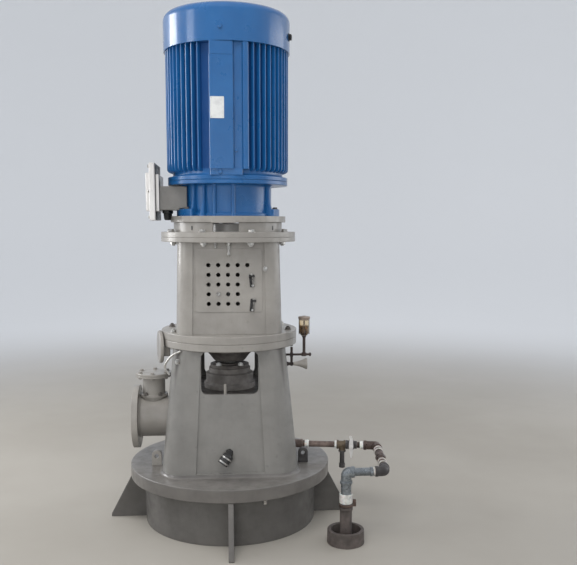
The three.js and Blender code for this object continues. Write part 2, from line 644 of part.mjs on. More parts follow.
function makeMotor() {
  const bracket = turned([
    [0, BRACKET_BOTTOM], [FOOT_RING_R, BRACKET_BOTTOM], [FOOT_RING_R, FOOT_RING_TOP], [SKIRT_R, FOOT_RING_TOP],
    [SKIRT_R, MOTOR_RIM_BOTTOM], [MOTOR_RIM_R, MOTOR_RIM_BOTTOM], [MOTOR_RIM_R, MOTOR_RIM_SPLIT - SEAT],
    [0, MOTOR_RIM_SPLIT - SEAT],
  ]);
  const ribs = [...aroundAxis(flaredRib(), FLARED_RIBS), ...aroundAxis(slimRib(), SLIM_RIBS)];
  const ears = FOOT_EARS.map(footEar);
  const shaftRoom = disc(SHAFT_ROOM_R, BRACKET_BOTTOM - 1, SHAFT_ROOM_TOP, 32);
  addPiece('motor_end_bracket', fromSolid(join(bracket, ...ribs, ...ears).subtract(shaftRoom)), bluePaint);

  const fins = extruded(finOutline(), MOTOR_BAND_TOP - 2, FRAME_TOP, 1);
  const band = turned([
    [0, MOTOR_RIM_SPLIT], [MOTOR_RIM_R, MOTOR_RIM_SPLIT], [MOTOR_RIM_R, MOTOR_RIM_TOP],
    [MOTOR_BAND_R, MOTOR_RIM_TOP + 2], [MOTOR_BAND_R, MOTOR_BAND_TOP], [0, MOTOR_BAND_TOP],
  ]);
  addPiece('motor_frame', fromSolid(join(fins, band)), bluePaint);

  const plateBack = -PAD_FRONT - SEAT;
  addPiece('nameplate', fromSolid(box(
    NAMEPLATE.left, plateBack - NAMEPLATE.thickness, NAMEPLATE.bottom,
    NAMEPLATE.right, plateBack, NAMEPLATE.top)), whitePlate);

  const shoulder = [];
  for (let step = 0; step <= 3; step++) {
    const angle = step / 3 * Math.PI / 2;
    shoulder.push([
      COVER_R - COVER_SHOULDER_R + COVER_SHOULDER_R * Math.cos(angle),
      COVER_TOP - COVER_SHOULDER_R + COVER_SHOULDER_R * Math.sin(angle)]);
  }
  addPiece('fan_cover', fromSolid(turned([
    [0, FRAME_TOP + SEAT], [COVER_R, FRAME_TOP + SEAT], ...shoulder,
    [GRILLE_R, COVER_TOP], [GRILLE_R, COVER_TOP - GRILLE_DEPTH], [0, COVER_TOP - GRILLE_DEPTH],
  ])), bluePaint);
  addPiece('fan_grille',
    fromSolid(disc(GRILLE_R - 4, COVER_TOP - GRILLE_DEPTH + SEAT, COVER_TOP - GRILLE_DEPTH / 2)), bluePaint);
}

// The motor frame's section: radial fins all round, with a flat pad and a broad rib at front and back
function finOutline() {
  const points = [];
  const addFin = (angle) => {
    const across = FIN_THICKNESS / 2;
    for (const [r, side] of [[FIN_ROOT_R, -1], [FIN_TIP_R, -1], [FIN_TIP_R, 1], [FIN_ROOT_R, 1]]) {
      const x = Math.cos(angle) * r - Math.sin(angle) * across * side;
      const y = Math.sin(angle) * r + Math.cos(angle) * across * side;
      points.push(new THREE.Vector2(x, y));
    }
  };
  const rootAt = (x) => -Math.sqrt(FIN_ROOT_R ** 2 - x ** 2);
  // Points of the pad and the broad rib, for the front when turn is 1 and for the back when it is -1
  const addPad = (turn) => {
    const outline = [
      [PAD_LEFT, rootAt(PAD_LEFT)], [PAD_LEFT, -PAD_FRONT], [PAD_RIGHT, -PAD_FRONT],
      [PAD_RIGHT, rootAt(PAD_RIGHT)], [BROAD_RIB_LEFT, rootAt(BROAD_RIB_LEFT)],
      [BROAD_RIB_LEFT, -PAD_FRONT + 8], [BROAD_RIB_RIGHT, -PAD_FRONT + 16],
      [BROAD_RIB_RIGHT, rootAt(BROAD_RIB_RIGHT)],
    ];
    for (const [x, y] of outline) {
      points.push(new THREE.Vector2(x * turn, y * turn));
    }
  };
  const pitch = (LAST_FIN - FIRST_FIN) / (FINS_PER_HALF - 1);
  for (const [start, turn] of [[-90, 1], [90, -1]]) {
    addPad(turn);
    for (let fin = 0; fin < FINS_PER_HALF; fin++) {
      addFin(THREE.MathUtils.degToRad(start + FIRST_FIN + fin * pitch));
    }
  }
  return new THREE.Shape(points);
}

// Terminal box on the end bracket

function makeTerminalBox() {
  const body = box(BOX_BODY_LEFT, -BOX_HALF_WIDTH, BOX_BOTTOM, BOX_BODY_RIGHT, BOX_HALF_WIDTH, BOX_TOP);
  const flangeLeft = BOX_BODY_LEFT - BOX_FLANGE.thickness;
  const flange = box(flangeLeft, -BOX_HALF_WIDTH - BOX_FLANGE.side, BOX_BOTTOM - BOX_FLANGE.below,
    BOX_BODY_LEFT, BOX_HALF_WIDTH + BOX_FLANGE.side, BOX_TOP + BOX_FLANGE.above);
  const clear = join(
    disc(SKIRT_R + SEAT, FOOT_FLANGE_TOP, MOTOR_RIM_BOTTOM, 48),
    disc(MOTOR_RIM_R + 4, MOTOR_RIM_BOTTOM - 4, MOTOR_BAND_TOP + 50, 48),
    disc(FOOT_FLANGE_R + 3, FOOT_FLANGE_TOP - 40, FOOT_FLANGE_TOP + 3, 48),
    ...aroundAxis(flaredRib().scale([1.02, 1.2, 1]), FLARED_RIBS));
  addPiece('terminal_box', fromSolid(join(body, flange).subtract(clear)), greyPaint);

  const lidRight = flangeLeft - SEAT;
  const lidLeft = lidRight - LID_THICKNESS;
  const lid = box(lidLeft, -LID_HALF_WIDTH, LID_BOTTOM, lidRight, LID_HALF_WIDTH, LID_TOP);
  const boss = box(
    lidLeft - LID_BOSS_HEIGHT, -LID_HALF_WIDTH + LID_BOSS_MARGIN, LID_BOTTOM + LID_BOSS_MARGIN,
    lidLeft + 1, LID_HALF_WIDTH - LID_BOSS_MARGIN, LID_TOP - LID_BOSS_MARGIN);
  addPiece('terminal_box_lid', fromSolid(join(lid, boss)), greyPaint);

  for (const [index, y] of [-GLAND.y, GLAND.y].entries()) {
    const top = BOX_BOTTOM - SEAT;
    const nut = bar([GLAND.x, y, top - GLAND.nutHeight], [GLAND.x, y, top], GLAND.nutR, 6);
    const neck = bar([GLAND.x, y, top - GLAND.length], [GLAND.x, y, top - GLAND.nutHeight + 2], GLAND.neckR, 16);
    addPiece(`cable_gland_${index + 1}`, fromSolid(join(nut, neck)), darkPaint);
  }
}

// Oiler

function makeOiler() {
  const at = (x, z) => [x, OILER_Y, z];
  const wallX = stoolHalfAt(OILER_HORN_Z) - 30;
  const knuckleX = wallX + 55;
  const arm = bar(at(wallX, OILER_ARM_Z), at(OILER_ARM_END_X, OILER_ARM_Z), OILER_ARM_R, 12);
  const stem = bar(at(OILER_X, OILER_ARM_Z), at(OILER_X, OILER_GLASS_BOTTOM - SEAT), OILER_STEM_R, 12);
  const riser = bar(at(knuckleX, OILER_HORN_Z - 12), at(knuckleX, OILER_RISER_TOP), OILER_RISER_R, 16);
  const foot = bar(at(wallX, OILER_HORN_Z), at(knuckleX, OILER_HORN_Z), OILER_RISER_R + 2, 16);
  addPiece('oiler_pipe', fromSolid(join(arm, stem, riser, foot).subtract(stoolRoom(0))), castIron);

  const horn = turned([[0, 0], [10, 0], [11, 20], [22, 50], [29, 64], [29, 72], [0, 72]], 20)
    .rotate([0, 90, 0]).translate(at(knuckleX + OILER_RISER_R + 2 + SEAT, OILER_HORN_Z));
  addPiece('oiler_horn', fromSolid(horn), greyPaint);
  addPiece('oiler_glass', fromSolid(turned([
    [0, OILER_GLASS_BOTTOM], [14, OILER_GLASS_BOTTOM], [OILER_GLASS_R - 3, OILER_GLASS_BOTTOM + 10],
    [OILER_GLASS_R, OILER_GLASS_TOP], [0, OILER_GLASS_TOP],
  ], 24).translate(at(OILER_X, 0))), amberGlass);
  addPiece('oiler_cap', fromSolid(
    disc(31, OILER_GLASS_TOP + SEAT, OILER_CAP_TOP, 24).translate(at(OILER_X, 0))), steel);
}

// Drain line

const heading = THREE.MathUtils.degToRad(DRAIN_HEADING_DEG);
const drainPoint = (distance, lift = 0) => [
  DRAIN_START[0] + distance * Math.cos(heading),
  DRAIN_START[1] + distance * Math.sin(heading),
  DRAIN_START[2] + lift,
];

function makeDrainLine() {
  const z = DRAIN_START[2];
  const valveStart = DRAIN_VALVE_AT - DRAIN_VALVE_LENGTH / 2;
  const valveEnd = DRAIN_VALVE_AT + DRAIN_VALVE_LENGTH / 2;
  const coupling = bar(drainPoint(-40), drainPoint(DRAIN_COUPLING_LENGTH), DRAIN_FITTING_R, 20);
  addPiece('drain_coupling', fromSolid(coupling.subtract(stoolRoom())), rustySteel);
  addPiece('drain_inlet_pipe', fromSolid(
    bar(drainPoint(DRAIN_COUPLING_LENGTH + SEAT), drainPoint(DRAIN_TEE_START - SEAT), DRAIN_PIPE_R, 16)), rustySteel);

  const teeCentre = drainPoint(DRAIN_TEE_AT);
  const run = bar(drainPoint(DRAIN_TEE_START), drainPoint(valveStart - SEAT), DRAIN_FITTING_R, 16);
  const leg = bar([teeCentre[0], teeCentre[1], DRIP_LEG_BOTTOM], teeCentre, DRIP_LEG_R, 12);
  const socket = bar([teeCentre[0], teeCentre[1], z - 40], teeCentre, DRIP_LEG_R + 5, 12);
  addPiece('drain_tee', fromSolid(join(run, leg, socket)), rustySteel);

  const ends = bar(drainPoint(valveStart), drainPoint(valveEnd), VALVE_END_R, 8);
  const belly = bar(drainPoint(DRAIN_VALVE_AT - 18), drainPoint(DRAIN_VALVE_AT + 18), VALVE_BELLY_R, 16);
  const centre = drainPoint(DRAIN_VALVE_AT);
  const forwards = (reach) => [
    centre[0] + reach * Math.sin(heading), centre[1] - reach * Math.cos(heading), z];
  const stem = bar(centre, forwards(HANDLE_REACH - SEAT), STEM_R, 12);
  addPiece('drain_valve_body', fromSolid(join(ends, belly, stem)), rustySteel);

  const plate = box(-HANDLE_HALF_WIDTH, -HANDLE_REACH - HANDLE_THICKNESS, -HANDLE_HALF_LENGTH,
    HANDLE_HALF_WIDTH, -HANDLE_REACH, HANDLE_HALF_LENGTH);
  const nut = bar([0, -HANDLE_REACH - 14, 0], [0, -HANDLE_REACH - 1, 0], 11, 6);
  addPiece('drain_valve_lever',
    fromSolid(join(plate, nut).rotate([0, 0, DRAIN_HEADING_DEG]).translate(centre)), whitePlate);

  const first = drainPoint(DRAIN_LOOP_AT);
  const second = [...LOOP_CORNER, RETURN_Z];
  const outlet = bar(drainPoint(valveEnd + SEAT), first, DRAIN_PIPE_R, 16);
  const side = bar(first, second, RETURN_PIPE_R, 16);
  const sleeves = [
    bar(drainPoint(DRAIN_LOOP_AT - LOOP_SOCKET), first, DRAIN_FITTING_R, 16),
    bar(second, [LOOP_CORNER[0] - 52, LOOP_CORNER[1], RETURN_Z], DRAIN_FITTING_R + 3, 16),
  ];
  const knees = [first, second].map(([x, y, height]) =>
    toSolid(new THREE.SphereGeometry(DRAIN_FITTING_R + 2, 16, 10).translate(x, y, height)));
  addPiece('drain_loop', fromSolid(join(outlet, side, ...sleeves, ...knees)), rustySteel);

  const [standX, standY] = STANDPIPE_AT;
  addPiece('drain_return_pipe', fromSolid(bar(
    [LOOP_CORNER[0] - 52 - SEAT, LOOP_CORNER[1], RETURN_Z],
    [standX + 42 + SEAT, standY, RETURN_Z], RETURN_PIPE_R, 16)),
  galvanised);
  const elbow = join(
    bar([standX + 42, standY, RETURN_Z], [standX, standY, RETURN_Z], STANDPIPE_R, 16),
    toSolid(new THREE.SphereGeometry(STANDPIPE_R + 1, 16, 10).translate(standX, standY, RETURN_Z)),
    bar([standX, standY, STANDPIPE_SPLIT], [standX, standY, RETURN_Z], STANDPIPE_R, 16),
    bar([standX, standY, 306], [standX, standY, 322], STANDPIPE_R + 5, 16));
  addPiece('standpipe', fromSolid(elbow), galvanised);
  addPiece('standpipe_lower', fromSolid(join(
    bar([standX, standY, CUP_FLOOR + SEAT], [standX, standY, STANDPIPE_SPLIT - SEAT], STANDPIPE_LOWER_R, 20),
    bar([standX, standY, 170], [standX, standY, STANDPIPE_SPLIT - SEAT], STANDPIPE_LOWER_R + 5, 20))), rustySteel);
  addPiece('drain_cup', fromSolid(
    disc(CUP_R, 0, CUP_HEIGHT, 32).subtract(disc(CUP_INNER_R, CUP_FLOOR, CUP_HEIGHT + 1, 32))
      .translate([standX, standY, 0])), rustySteel);
}

// The nipple on the front of the stool: a short pipe with a socket that points down and to the left
function makeHoseNipple() {
  const z = HOSE_NIPPLE.z;
  const face = -stoolFaceAt(z);
  const knee = [HOSE_NIPPLE.x, face - HOSE_NIPPLE.reach, z];
  const [dx, dy, dz] = HOSE_NIPPLE.socketRun;
  const stub = bar([HOSE_NIPPLE.x, face + 12, z], knee, HOSE_NIPPLE.pipeR, 16);
  const socket = bar(knee, [knee[0] + dx, knee[1] + dy, knee[2] + dz], HOSE_NIPPLE.socketR, 20);
  const ball = toSolid(new THREE.SphereGeometry(HOSE_NIPPLE.pipeR + 3, 16, 10).translate(...knee));
  addPiece('hose_nipple', fromSolid(join(stub, ball, socket).subtract(stoolRoom())), darkPaint);
}

makeBase();
makeStool();
makeVent();
makeLugs();
makeSealAndBearing();
makeRotor();
makeLantern();
makeGuard('guard_front', 0);
makeGuard('guard_back', 180);
makeAdapter();
makeMotor();
makeTerminalBox();
makeOiler();
makeDrainLine();
makeHoseNipple();

export default pump;
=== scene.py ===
import math
import bmesh
import bpy
from mathutils import Matrix, Vector


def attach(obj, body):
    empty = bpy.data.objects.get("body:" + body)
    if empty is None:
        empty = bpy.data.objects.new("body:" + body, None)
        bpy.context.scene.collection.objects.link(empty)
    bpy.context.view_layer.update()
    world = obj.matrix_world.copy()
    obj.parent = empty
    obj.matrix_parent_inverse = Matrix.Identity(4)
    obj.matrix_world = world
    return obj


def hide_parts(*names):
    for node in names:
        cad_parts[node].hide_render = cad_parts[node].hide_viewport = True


# The looks of a vertical turbine pump: finishes, rounded edges, fins, bolts, welds and small
# fittings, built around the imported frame. Metres, +Z up, the pump's axis on Z.

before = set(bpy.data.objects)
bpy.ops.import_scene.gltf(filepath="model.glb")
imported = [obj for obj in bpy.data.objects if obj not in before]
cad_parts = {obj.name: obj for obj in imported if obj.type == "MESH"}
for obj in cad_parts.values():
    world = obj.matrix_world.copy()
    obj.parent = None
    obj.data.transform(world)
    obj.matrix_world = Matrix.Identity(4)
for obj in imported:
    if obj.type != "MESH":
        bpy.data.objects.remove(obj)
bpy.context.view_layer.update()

BODY = "pump_body"
ROTOR = "rotor"
LEVER = "valve_lever"
UP = Vector((0, 0, 1))
DOWN = Vector((0, 0, -1))
LEFT = Vector((-1, 0, 0))
RIGHT = Vector((1, 0, 0))
FRONT = Vector((0, -1, 0))
# Gap kept between two pieces that touch
SEAT = 0.0003
# A bolt's washer, hexagon and end, as parts of the thread's size
WASHER_RADIUS = 1.1
WASHER_THICKNESS = 0.16
HEXAGON_ACROSS = 1.55
HEXAGON_HEIGHT = 0.66
STUD_SOFTNESS = 0.08
# The reach of a washer's rounded edge, as a part of its thickness
WASHER_SOFTNESS = 0.3
# Where a hexagon's chamfer starts, as a part of its height, and the part of its radius that stays
CHAMFER_START = 0.78
CROWN = 0.84
# A point nearer the axis than this lies on it
ON_AXIS = 1e-6
# The largest part of an edge that the bend at one end of it takes
BEND_SHARE = 0.49
BEVEL_STEPS = 3
# Vertices of a CAD solid closer than this are one, and faces that lean less than this are flat
MERGE_DISTANCE = 2e-5
FLAT_ANGLE = math.radians(0.6)
# Edges that bend less than this are smooth
CREASE = math.radians(32)


# Placing and outlines

def place(origin, axis=UP, turn=0.0):
    """A matrix that puts a shape made along +Z at origin, pointing along axis."""
    aim = Vector(axis).normalized().to_track_quat("Z", "Y").to_matrix().to_4x4()
    return Matrix.Translation(origin) @ aim @ Matrix.Rotation(turn, 4, "Z")


def axes_matrix(x, y, z):
    """A turn whose own X, Y and Z point along x, y and z."""
    return Matrix((x, y, z)).transposed().to_4x4()


def radial(reach, aside, z, degrees):
    """A point at reach from the axis, moved aside. 0 degrees is the front; angles run towards +X."""
    a = math.radians(degrees)
    across, along = math.sin(a), math.cos(a)
    return Vector((reach * across + aside * along, aside * across - reach * along, z))


def polar(radius, degrees, z=0.0):
    return radial(radius, 0, z, degrees)


def eight(first):
    """Eight angles that share a full turn evenly, in degrees."""
    return [first + 45 * i for i in range(8)]


def rounded(points, reach, steps=4, closed=True):
    """The outline with each corner turned into a short curve that starts reach before it.
    A corner given with one number more than the first has its own reach."""
    size = len(points[0])
    result = []
    last = len(points) - 1
    for i, point in enumerate(points):
        corner = Vector(point[:size])
        if not closed and i in (0, last):
            result.append(corner)
            continue
        before = Vector(points[i - 1][:size]) - corner
        after = Vector(points[(i + 1) % (last + 1)][:size]) - corner
        own = point[size] if len(point) > size else reach
        own = min(own, before.length * BEND_SHARE, after.length * BEND_SHARE)
        leave, join = before.normalized() * own, after.normalized() * own
        for step in range(steps + 1):
            t = step / steps
            result.append(corner + leave * (1 - t) ** 2 + join * t ** 2)
    return result


def turns(steps):
    """Angles that share a full turn evenly, in radians."""
    return [2 * math.pi * i / steps for i in range(steps)]


def circle(radius, steps, centre=(0, 0)):
    x, y = centre
    return [Vector((x + radius * math.cos(a), y + radius * math.sin(a))) for a in turns(steps)]


def rectangle(left, bottom, right, top, soft=0.0):
    corners = [(left, bottom), (right, bottom), (right, top), (left, top)]
    return rounded(corners, soft) if soft else [Vector(corner) for corner in corners]


def add_object(name, data):
    made = bpy.data.objects.new(name, data)
    bpy.context.scene.collection.objects.link(made)
    return made


class Shape:
    """Collects closed shapes in one mesh."""

    def __init__(self):
        self.bm = bmesh.new()

    def rows(self, rings, closed=False):
        """Faces between rings of points. A ring of one point is an end on the axis."""
        made = [[self.bm.verts.new(point) for point in ring] for ring in rings]
        pairs = list(zip(made, made[1:]))
        if closed:
            pairs.append((made[-1], made[0]))
        for low, high in pairs:
            count = max(len(low), len(high))
            for i in range(count):
                j = (i + 1) % count
                quad = [low[i % len(low)], low[j % len(low)], high[j % len(high)], high[i % len(high)]]
                corners = list(dict.fromkeys(quad))
                if len(corners) > 2:
                    self.bm.faces.new(corners)
        return made

    def turned(self, profile, at=Matrix(), steps=96, closed=False):
        """Revolves (radius, height) points about Z. A closed profile is a ring."""
        rings = []
        for r, z in profile:
            if r < ON_AXIS:
                rings.append([at @ Vector((0, 0, z))])
            else:
                rings.append([at @ Vector((r * math.cos(a), r * math.sin(a), z)) for a in turns(steps)])
        self.rows(rings, closed)
        return self

    def lathe(self, profile, soft, at=Matrix(), steps=96, bend=4):
        """Revolves a profile with softened corners. One that starts off the axis is a ring."""
        closed = profile[0][0] > 0
        return self.turned(rounded(profile, soft, bend, closed), at, steps, closed)

    def loft(self, rings):
        """A solid through closed outlines with the same number of points."""
        made = self.rows(rings)
        self.bm.faces.new(made[0][::-1])
        self.bm.faces.new(made[-1])
        return self

    def ring(self, inner, outer, bottom, top, soft, at=Matrix(), steps=96):
        corners = [(inner, bottom), (outer, bottom), (outer, top), (inner, top)]
        return self.lathe(corners, soft, at, steps)

    def disc(self, radius, bottom, top, soft, at=Matrix(), steps=96):
        return self.lathe([(0, bottom), (radius, bottom), (radius, top), (0, top)], soft, at, steps)

    def prism(self, outline, bottom, top, at=Matrix(), holes=()):
        """Extrudes a flat outline, with holes, along Z."""
        edges = []
        for loop in [outline, *holes]:
            verts = [self.bm.verts.new((p[0], p[1], bottom)) for p in loop]
            edges += [self.bm.edges.new((verts[i - 1], verts[i])) for i in range(len(verts))]
        base = bmesh.ops.triangle_fill(self.bm, use_beauty=True, edges=edges)["geom"]
        faces = [g for g in base if isinstance(g, bmesh.types.BMFace)]
        grown = bmesh.ops.extrude_face_region(self.bm, geom=faces)["geom"]
        moved = [g for g in grown if isinstance(g, bmesh.types.BMVert)]
        bmesh.ops.translate(self.bm, vec=(0, 0, top - bottom), verts=moved)
        for vert in {v for f in faces for v in f.verts} | set(moved):
            vert.co = at @ vert.co
        return self

    def block(self, low, high, at=Matrix(), soft=0.0):
        """A box. Its upright edges are softened."""
        return self.prism(rectangle(*low[:2], *high[:2], soft), low[2], high[2], at)

    def bar(self, start, end, radius, sides=32, soft=0.0):
        """A round bar between two points, with softened ends."""
        start, end = Vector(start), Vector(end)
        length = (end - start).length
        corners = [(0, 0), (radius, 0), (radius, length), (0, length)]
        profile = rounded(corners, soft, closed=False) if soft else corners
        return self.turned(profile, place(start, end - start), sides)

    def bands(self, line, *rows):
        """Thick ends of pipe fittings: start and end on the line, radius, and softening if not 3 mm."""
        for start, end, radius, *soft in rows:
            self.bar(line(start), line(end), radius, 40, *(soft or [0.003]))

    def bend(self, points, reach, radius, steps=10, sides=40):
        """A round bar along a line of points. Its bends start reach before the corners."""
        points = rounded(points, reach, steps, closed=False)
        normal = None
        rings = []
        for i, point in enumerate(points):
            along = (points[min(i + 1, len(points) - 1)] - points[max(i - 1, 0)]).normalized()
            if normal is None:
                normal = along.orthogonal().normalized()
            normal = (normal - along * normal.dot(along)).normalized()
            side = along.cross(normal)
            rings.append([point + radius * (normal * math.cos(a) + side * math.sin(a))
                          for a in turns(sides)])
        return self.loft(rings)

    def hexagon(self, origin, axis, across, height, turn=0.0):
        """A hexagon bolt head or nut with a chamfered crown."""
        r = across / 2 / math.cos(math.pi / 6)
        corners = [(0, 0), (r, 0), (r, height * CHAMFER_START), (r * CROWN, height), (0, height)]
        return self.turned(corners, place(origin, axis, turn), 6)

    def bolt(self, origin, axis, size, turn=0.0, stud=0.0):
        """A washer and a hexagon for thread size size, and a stud end that stands out by stud."""
        axis = Vector(axis).normalized()
        washer, head = size * WASHER_THICKNESS, size * HEXAGON_HEIGHT
        self.disc(size * WASHER_RADIUS, 0, washer, washer * WASHER_SOFTNESS, place(origin, axis), 24)
        seat = Vector(origin) + axis * washer
        self.hexagon(seat, axis, size * HEXAGON_ACROSS, head, turn)
        if stud:
            self.bar(seat, seat + axis * (head + stud), size / 2, 16, size * STUD_SOFTNESS)
        return self

    def bolts_round(self, radius, angles, z, up, size, stud=0.0):
        for angle in angles:
            self.bolt(polar(radius, angle, z), (0, 0, up), size, math.radians(angle), stud)
        return self

    def from_cad(self, node):
        """The solid of a CAD node with its flat faces merged."""
        self.bm.from_mesh(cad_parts[node].data)
        verts = self.bm.verts
        bmesh.ops.remove_doubles(self.bm, verts=verts, dist=MERGE_DISTANCE)
        bmesh.ops.dissolve_limit(self.bm, angle_limit=FLAT_ANGLE, verts=verts, edges=self.bm.edges)
        return self

    def to_object(self, name, material):
        for face in self.bm.faces:
            face.smooth = True
        mesh = bpy.data.meshes.new(name)
        self.bm.to_mesh(mesh)
        self.bm.free()
        mesh.materials.append(material)
        return add_object(name, mesh)

    def make(self, name, material, node=None, slot=None, body=BODY, bevel=0.0):
        """Ends the shape as a piece of the scene, in place of a CAD node if one is named."""
        bmesh.ops.recalc_face_normals(self.bm, faces=self.bm.faces)
        for edge in self.bm.edges:
            edge.smooth = len(edge.link_faces) == 2 and edge.calc_face_angle(0) < CREASE
        piece = self.to_object(name, material)
        if bevel:
            rounding = piece.modifiers.new("rounding", "BEVEL")
            rounding.width = bevel
            rounding.segments = BEVEL_STEPS
            rounding.limit_method = "ANGLE"
            rounding.angle_limit = CREASE
            rounding.use_clamp_overlap = True
        piece.modifiers.new("normals", "WEIGHTED_NORMAL").keep_sharp = True
        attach(piece, body)
        if node:
            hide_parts(node)
        slot or SLOTS[material.name]

    def replace(self, node, material, slot=None, body=BODY, bevel=0.0):
        """Ends the shape as the dressed piece of a CAD node."""
        self.make(node + "_finish", material, node, slot, body, bevel)


def dress(node, material, bevel, slot=None):
    """The node's own solid with rounded edges and a finish."""
    Shape().from_cad(node).replace(node, material, slot, bevel=bevel)


# Finishes

NOISE_ROUGHNESS = 0.55
# The upward parts of the normal at which dust starts and is full
FACING_UP = (0.5, 0.95)
# The numbers of a colour mix's sockets: amount, first and second, and result
MIX_INPUTS = (0, 6, 7)
MIX_OUTPUT = 2


class Finish:
    """A procedural material, built node by node."""

    def __init__(self, name, **sockets):
        self.material = bpy.data.materials.new(name)
        self.material.use_nodes = True
        self.tree = self.material.node_tree
        self.shader = self.tree.nodes["Principled BSDF"]
        for socket, value in sockets.items():
            self.shader.inputs[socket.replace("_", " ")].default_value = value
        self.coords = self.node("TexCoord").outputs["Object"]

    def node(self, kind, **inputs):
        made = self.tree.nodes.new("ShaderNode" + kind)
        for key, value in inputs.items():
            self.feed(made.inputs[key.replace("_", " ")], value)
        return made

    def feed(self, socket, value):
        if isinstance(value, bpy.types.NodeSocket):
            self.tree.links.new(value, socket)
        elif socket.type == "RGBA":
            socket.default_value = (*value, 1.0)
        else:
            socket.default_value = value

    def noise(self, scale, detail, stretch=(1, 1, 1)):
        spread = self.node("Mapping", Vector=self.coords, Scale=stretch)
        return self.node("TexNoise", Vector=spread.outputs[0], Scale=scale, Detail=detail,
                         Roughness=NOISE_ROUGHNESS).outputs["Fac"]

    def ramp(self, value, low, high, start=0.0, end=1.0):
        made = self.node("MapRange", Value=value)
        made.interpolation_type = "SMOOTHSTEP"
        for key, number in (("From Min", low), ("From Max", high), ("To Min", start), ("To Max", end)):
            made.inputs[key].default_value = number
        return made.outputs[0]

    def patches(self, scale, detail, low, high, start=0.0, end=1.0, stretch=(1, 1, 1)):
        """Cloudy patches that go from start to end where the noise goes from low to high."""
        return self.ramp(self.noise(scale, detail, stretch), low, high, start, end)

    def math(self, kind, first, second=0.0):
        made = self.node("Math")
        made.operation = kind
        self.feed(made.inputs[0], first)
        self.feed(made.inputs[1], second)
        return made.outputs[0]

    def mix(self, amount, first, second):
        made = self.node("Mix")
        made.data_type = "RGBA"
        for number, value in zip(MIX_INPUTS, (amount, first, second)):
            self.feed(made.inputs[number], value)
        return made.outputs[MIX_OUTPUT]

    def facing_up(self):
        """1 on upward faces and 0 elsewhere."""
        normal = self.node("NewGeometry").outputs["Normal"]
        return self.ramp(self.node("SeparateXYZ", Vector=normal).outputs["Z"], *FACING_UP)

    def axes(self):
        """The point's X, Y and Z."""
        return self.node("SeparateXYZ", Vector=self.coords).outputs

    def height(self, low, high):
        """0 at height low and 1 at height high."""
        return self.ramp(self.axes()["Z"], low, high)

    def squared_radius(self):
        """The square of the distance from the pump's axis."""
        spot = self.axes()
        return self.math("ADD", *(self.math("MULTIPLY", spot[axis], spot[axis]) for axis in "XY"))

    def bump(self, value, distance, strength=1.0):
        made = self.node("Bump", Height=value, Strength=strength, Distance=distance)
        previous = self.shader.inputs["Normal"]
        if previous.is_linked:
            self.feed(made.inputs["Normal"], previous.links[0].from_socket)
        self.feed(previous, made.outputs[0])

    def colour(self, value):
        self.feed(self.shader.inputs["Base Color"], value)

    def roughness(self, value):
        self.feed(self.shader.inputs["Roughness"], value)


# Painted shade darkens the fins' grooves, inwards of these radii, and fades out over these heights
GROOVE_RADII = (0.3045, 0.293)
GROOVE_FOOT = (1.866, 1.874)
GROOVE_HEAD = (2.48, 2.47)
GROOVE_ROUGHNESS = 0.4


def enamel(name, coat, coat_roughness):
    """Blue motor enamel over sand-cast iron, with a little dust on what faces up and painted shade in the
    fins' grooves.
    """
    f = Finish(name, Coat_Weight=coat, Coat_Roughness=coat_roughness, Specular_IOR_Level=0.5)
    broad = f.patches(3.5, 5, 0.35, 0.7)
    paint = f.mix(broad, (0.006, 0.084, 0.25), (0.011, 0.106, 0.3))
    dusty = f.math("MULTIPLY", f.facing_up(), f.patches(18, 6, 0.4, 0.75, 0.05, 0.35))
    paint = f.mix(dusty, paint, (0.14, 0.18, 0.24))
    # Painted shade: inwards of the groove radii and among the fins, the colour goes towards deep navy and
    # the paint is rougher
    depth = f.ramp(f.squared_radius(), *(radius ** 2 for radius in GROOVE_RADII))
    among_fins = f.math("MULTIPLY", f.height(*GROOVE_FOOT), f.height(*GROOVE_HEAD))
    groove_shade = f.math("MULTIPLY", depth, among_fins)
    f.colour(f.mix(groove_shade, paint, (0.004, 0.052, 0.19)))
    gloss = f.patches(9, 6, 0.3, 0.75, 0.26, 0.42)
    f.roughness(f.math("ADD", gloss, f.math("MULTIPLY", groove_shade, GROOVE_ROUGHNESS)))
    f.bump(f.noise(42, 5), 0.0016, 0.35)
    f.bump(f.noise(230, 2), 0.0005, 0.2)
    return f.material


# Painted shade darkens the stool's inner faces, which lie inwards of these distances and above these
# heights
STOOL_INSIDE = (0.285, 0.262)
STOOL_FLOOR = (0.7, 0.716)
# A painted highlight lies on the edge of the terminal box's flange, left of this
BOX_RIM = (-0.3503, -0.3513)
# How bright a stain is beside the darker paint
STAIN = 0.6


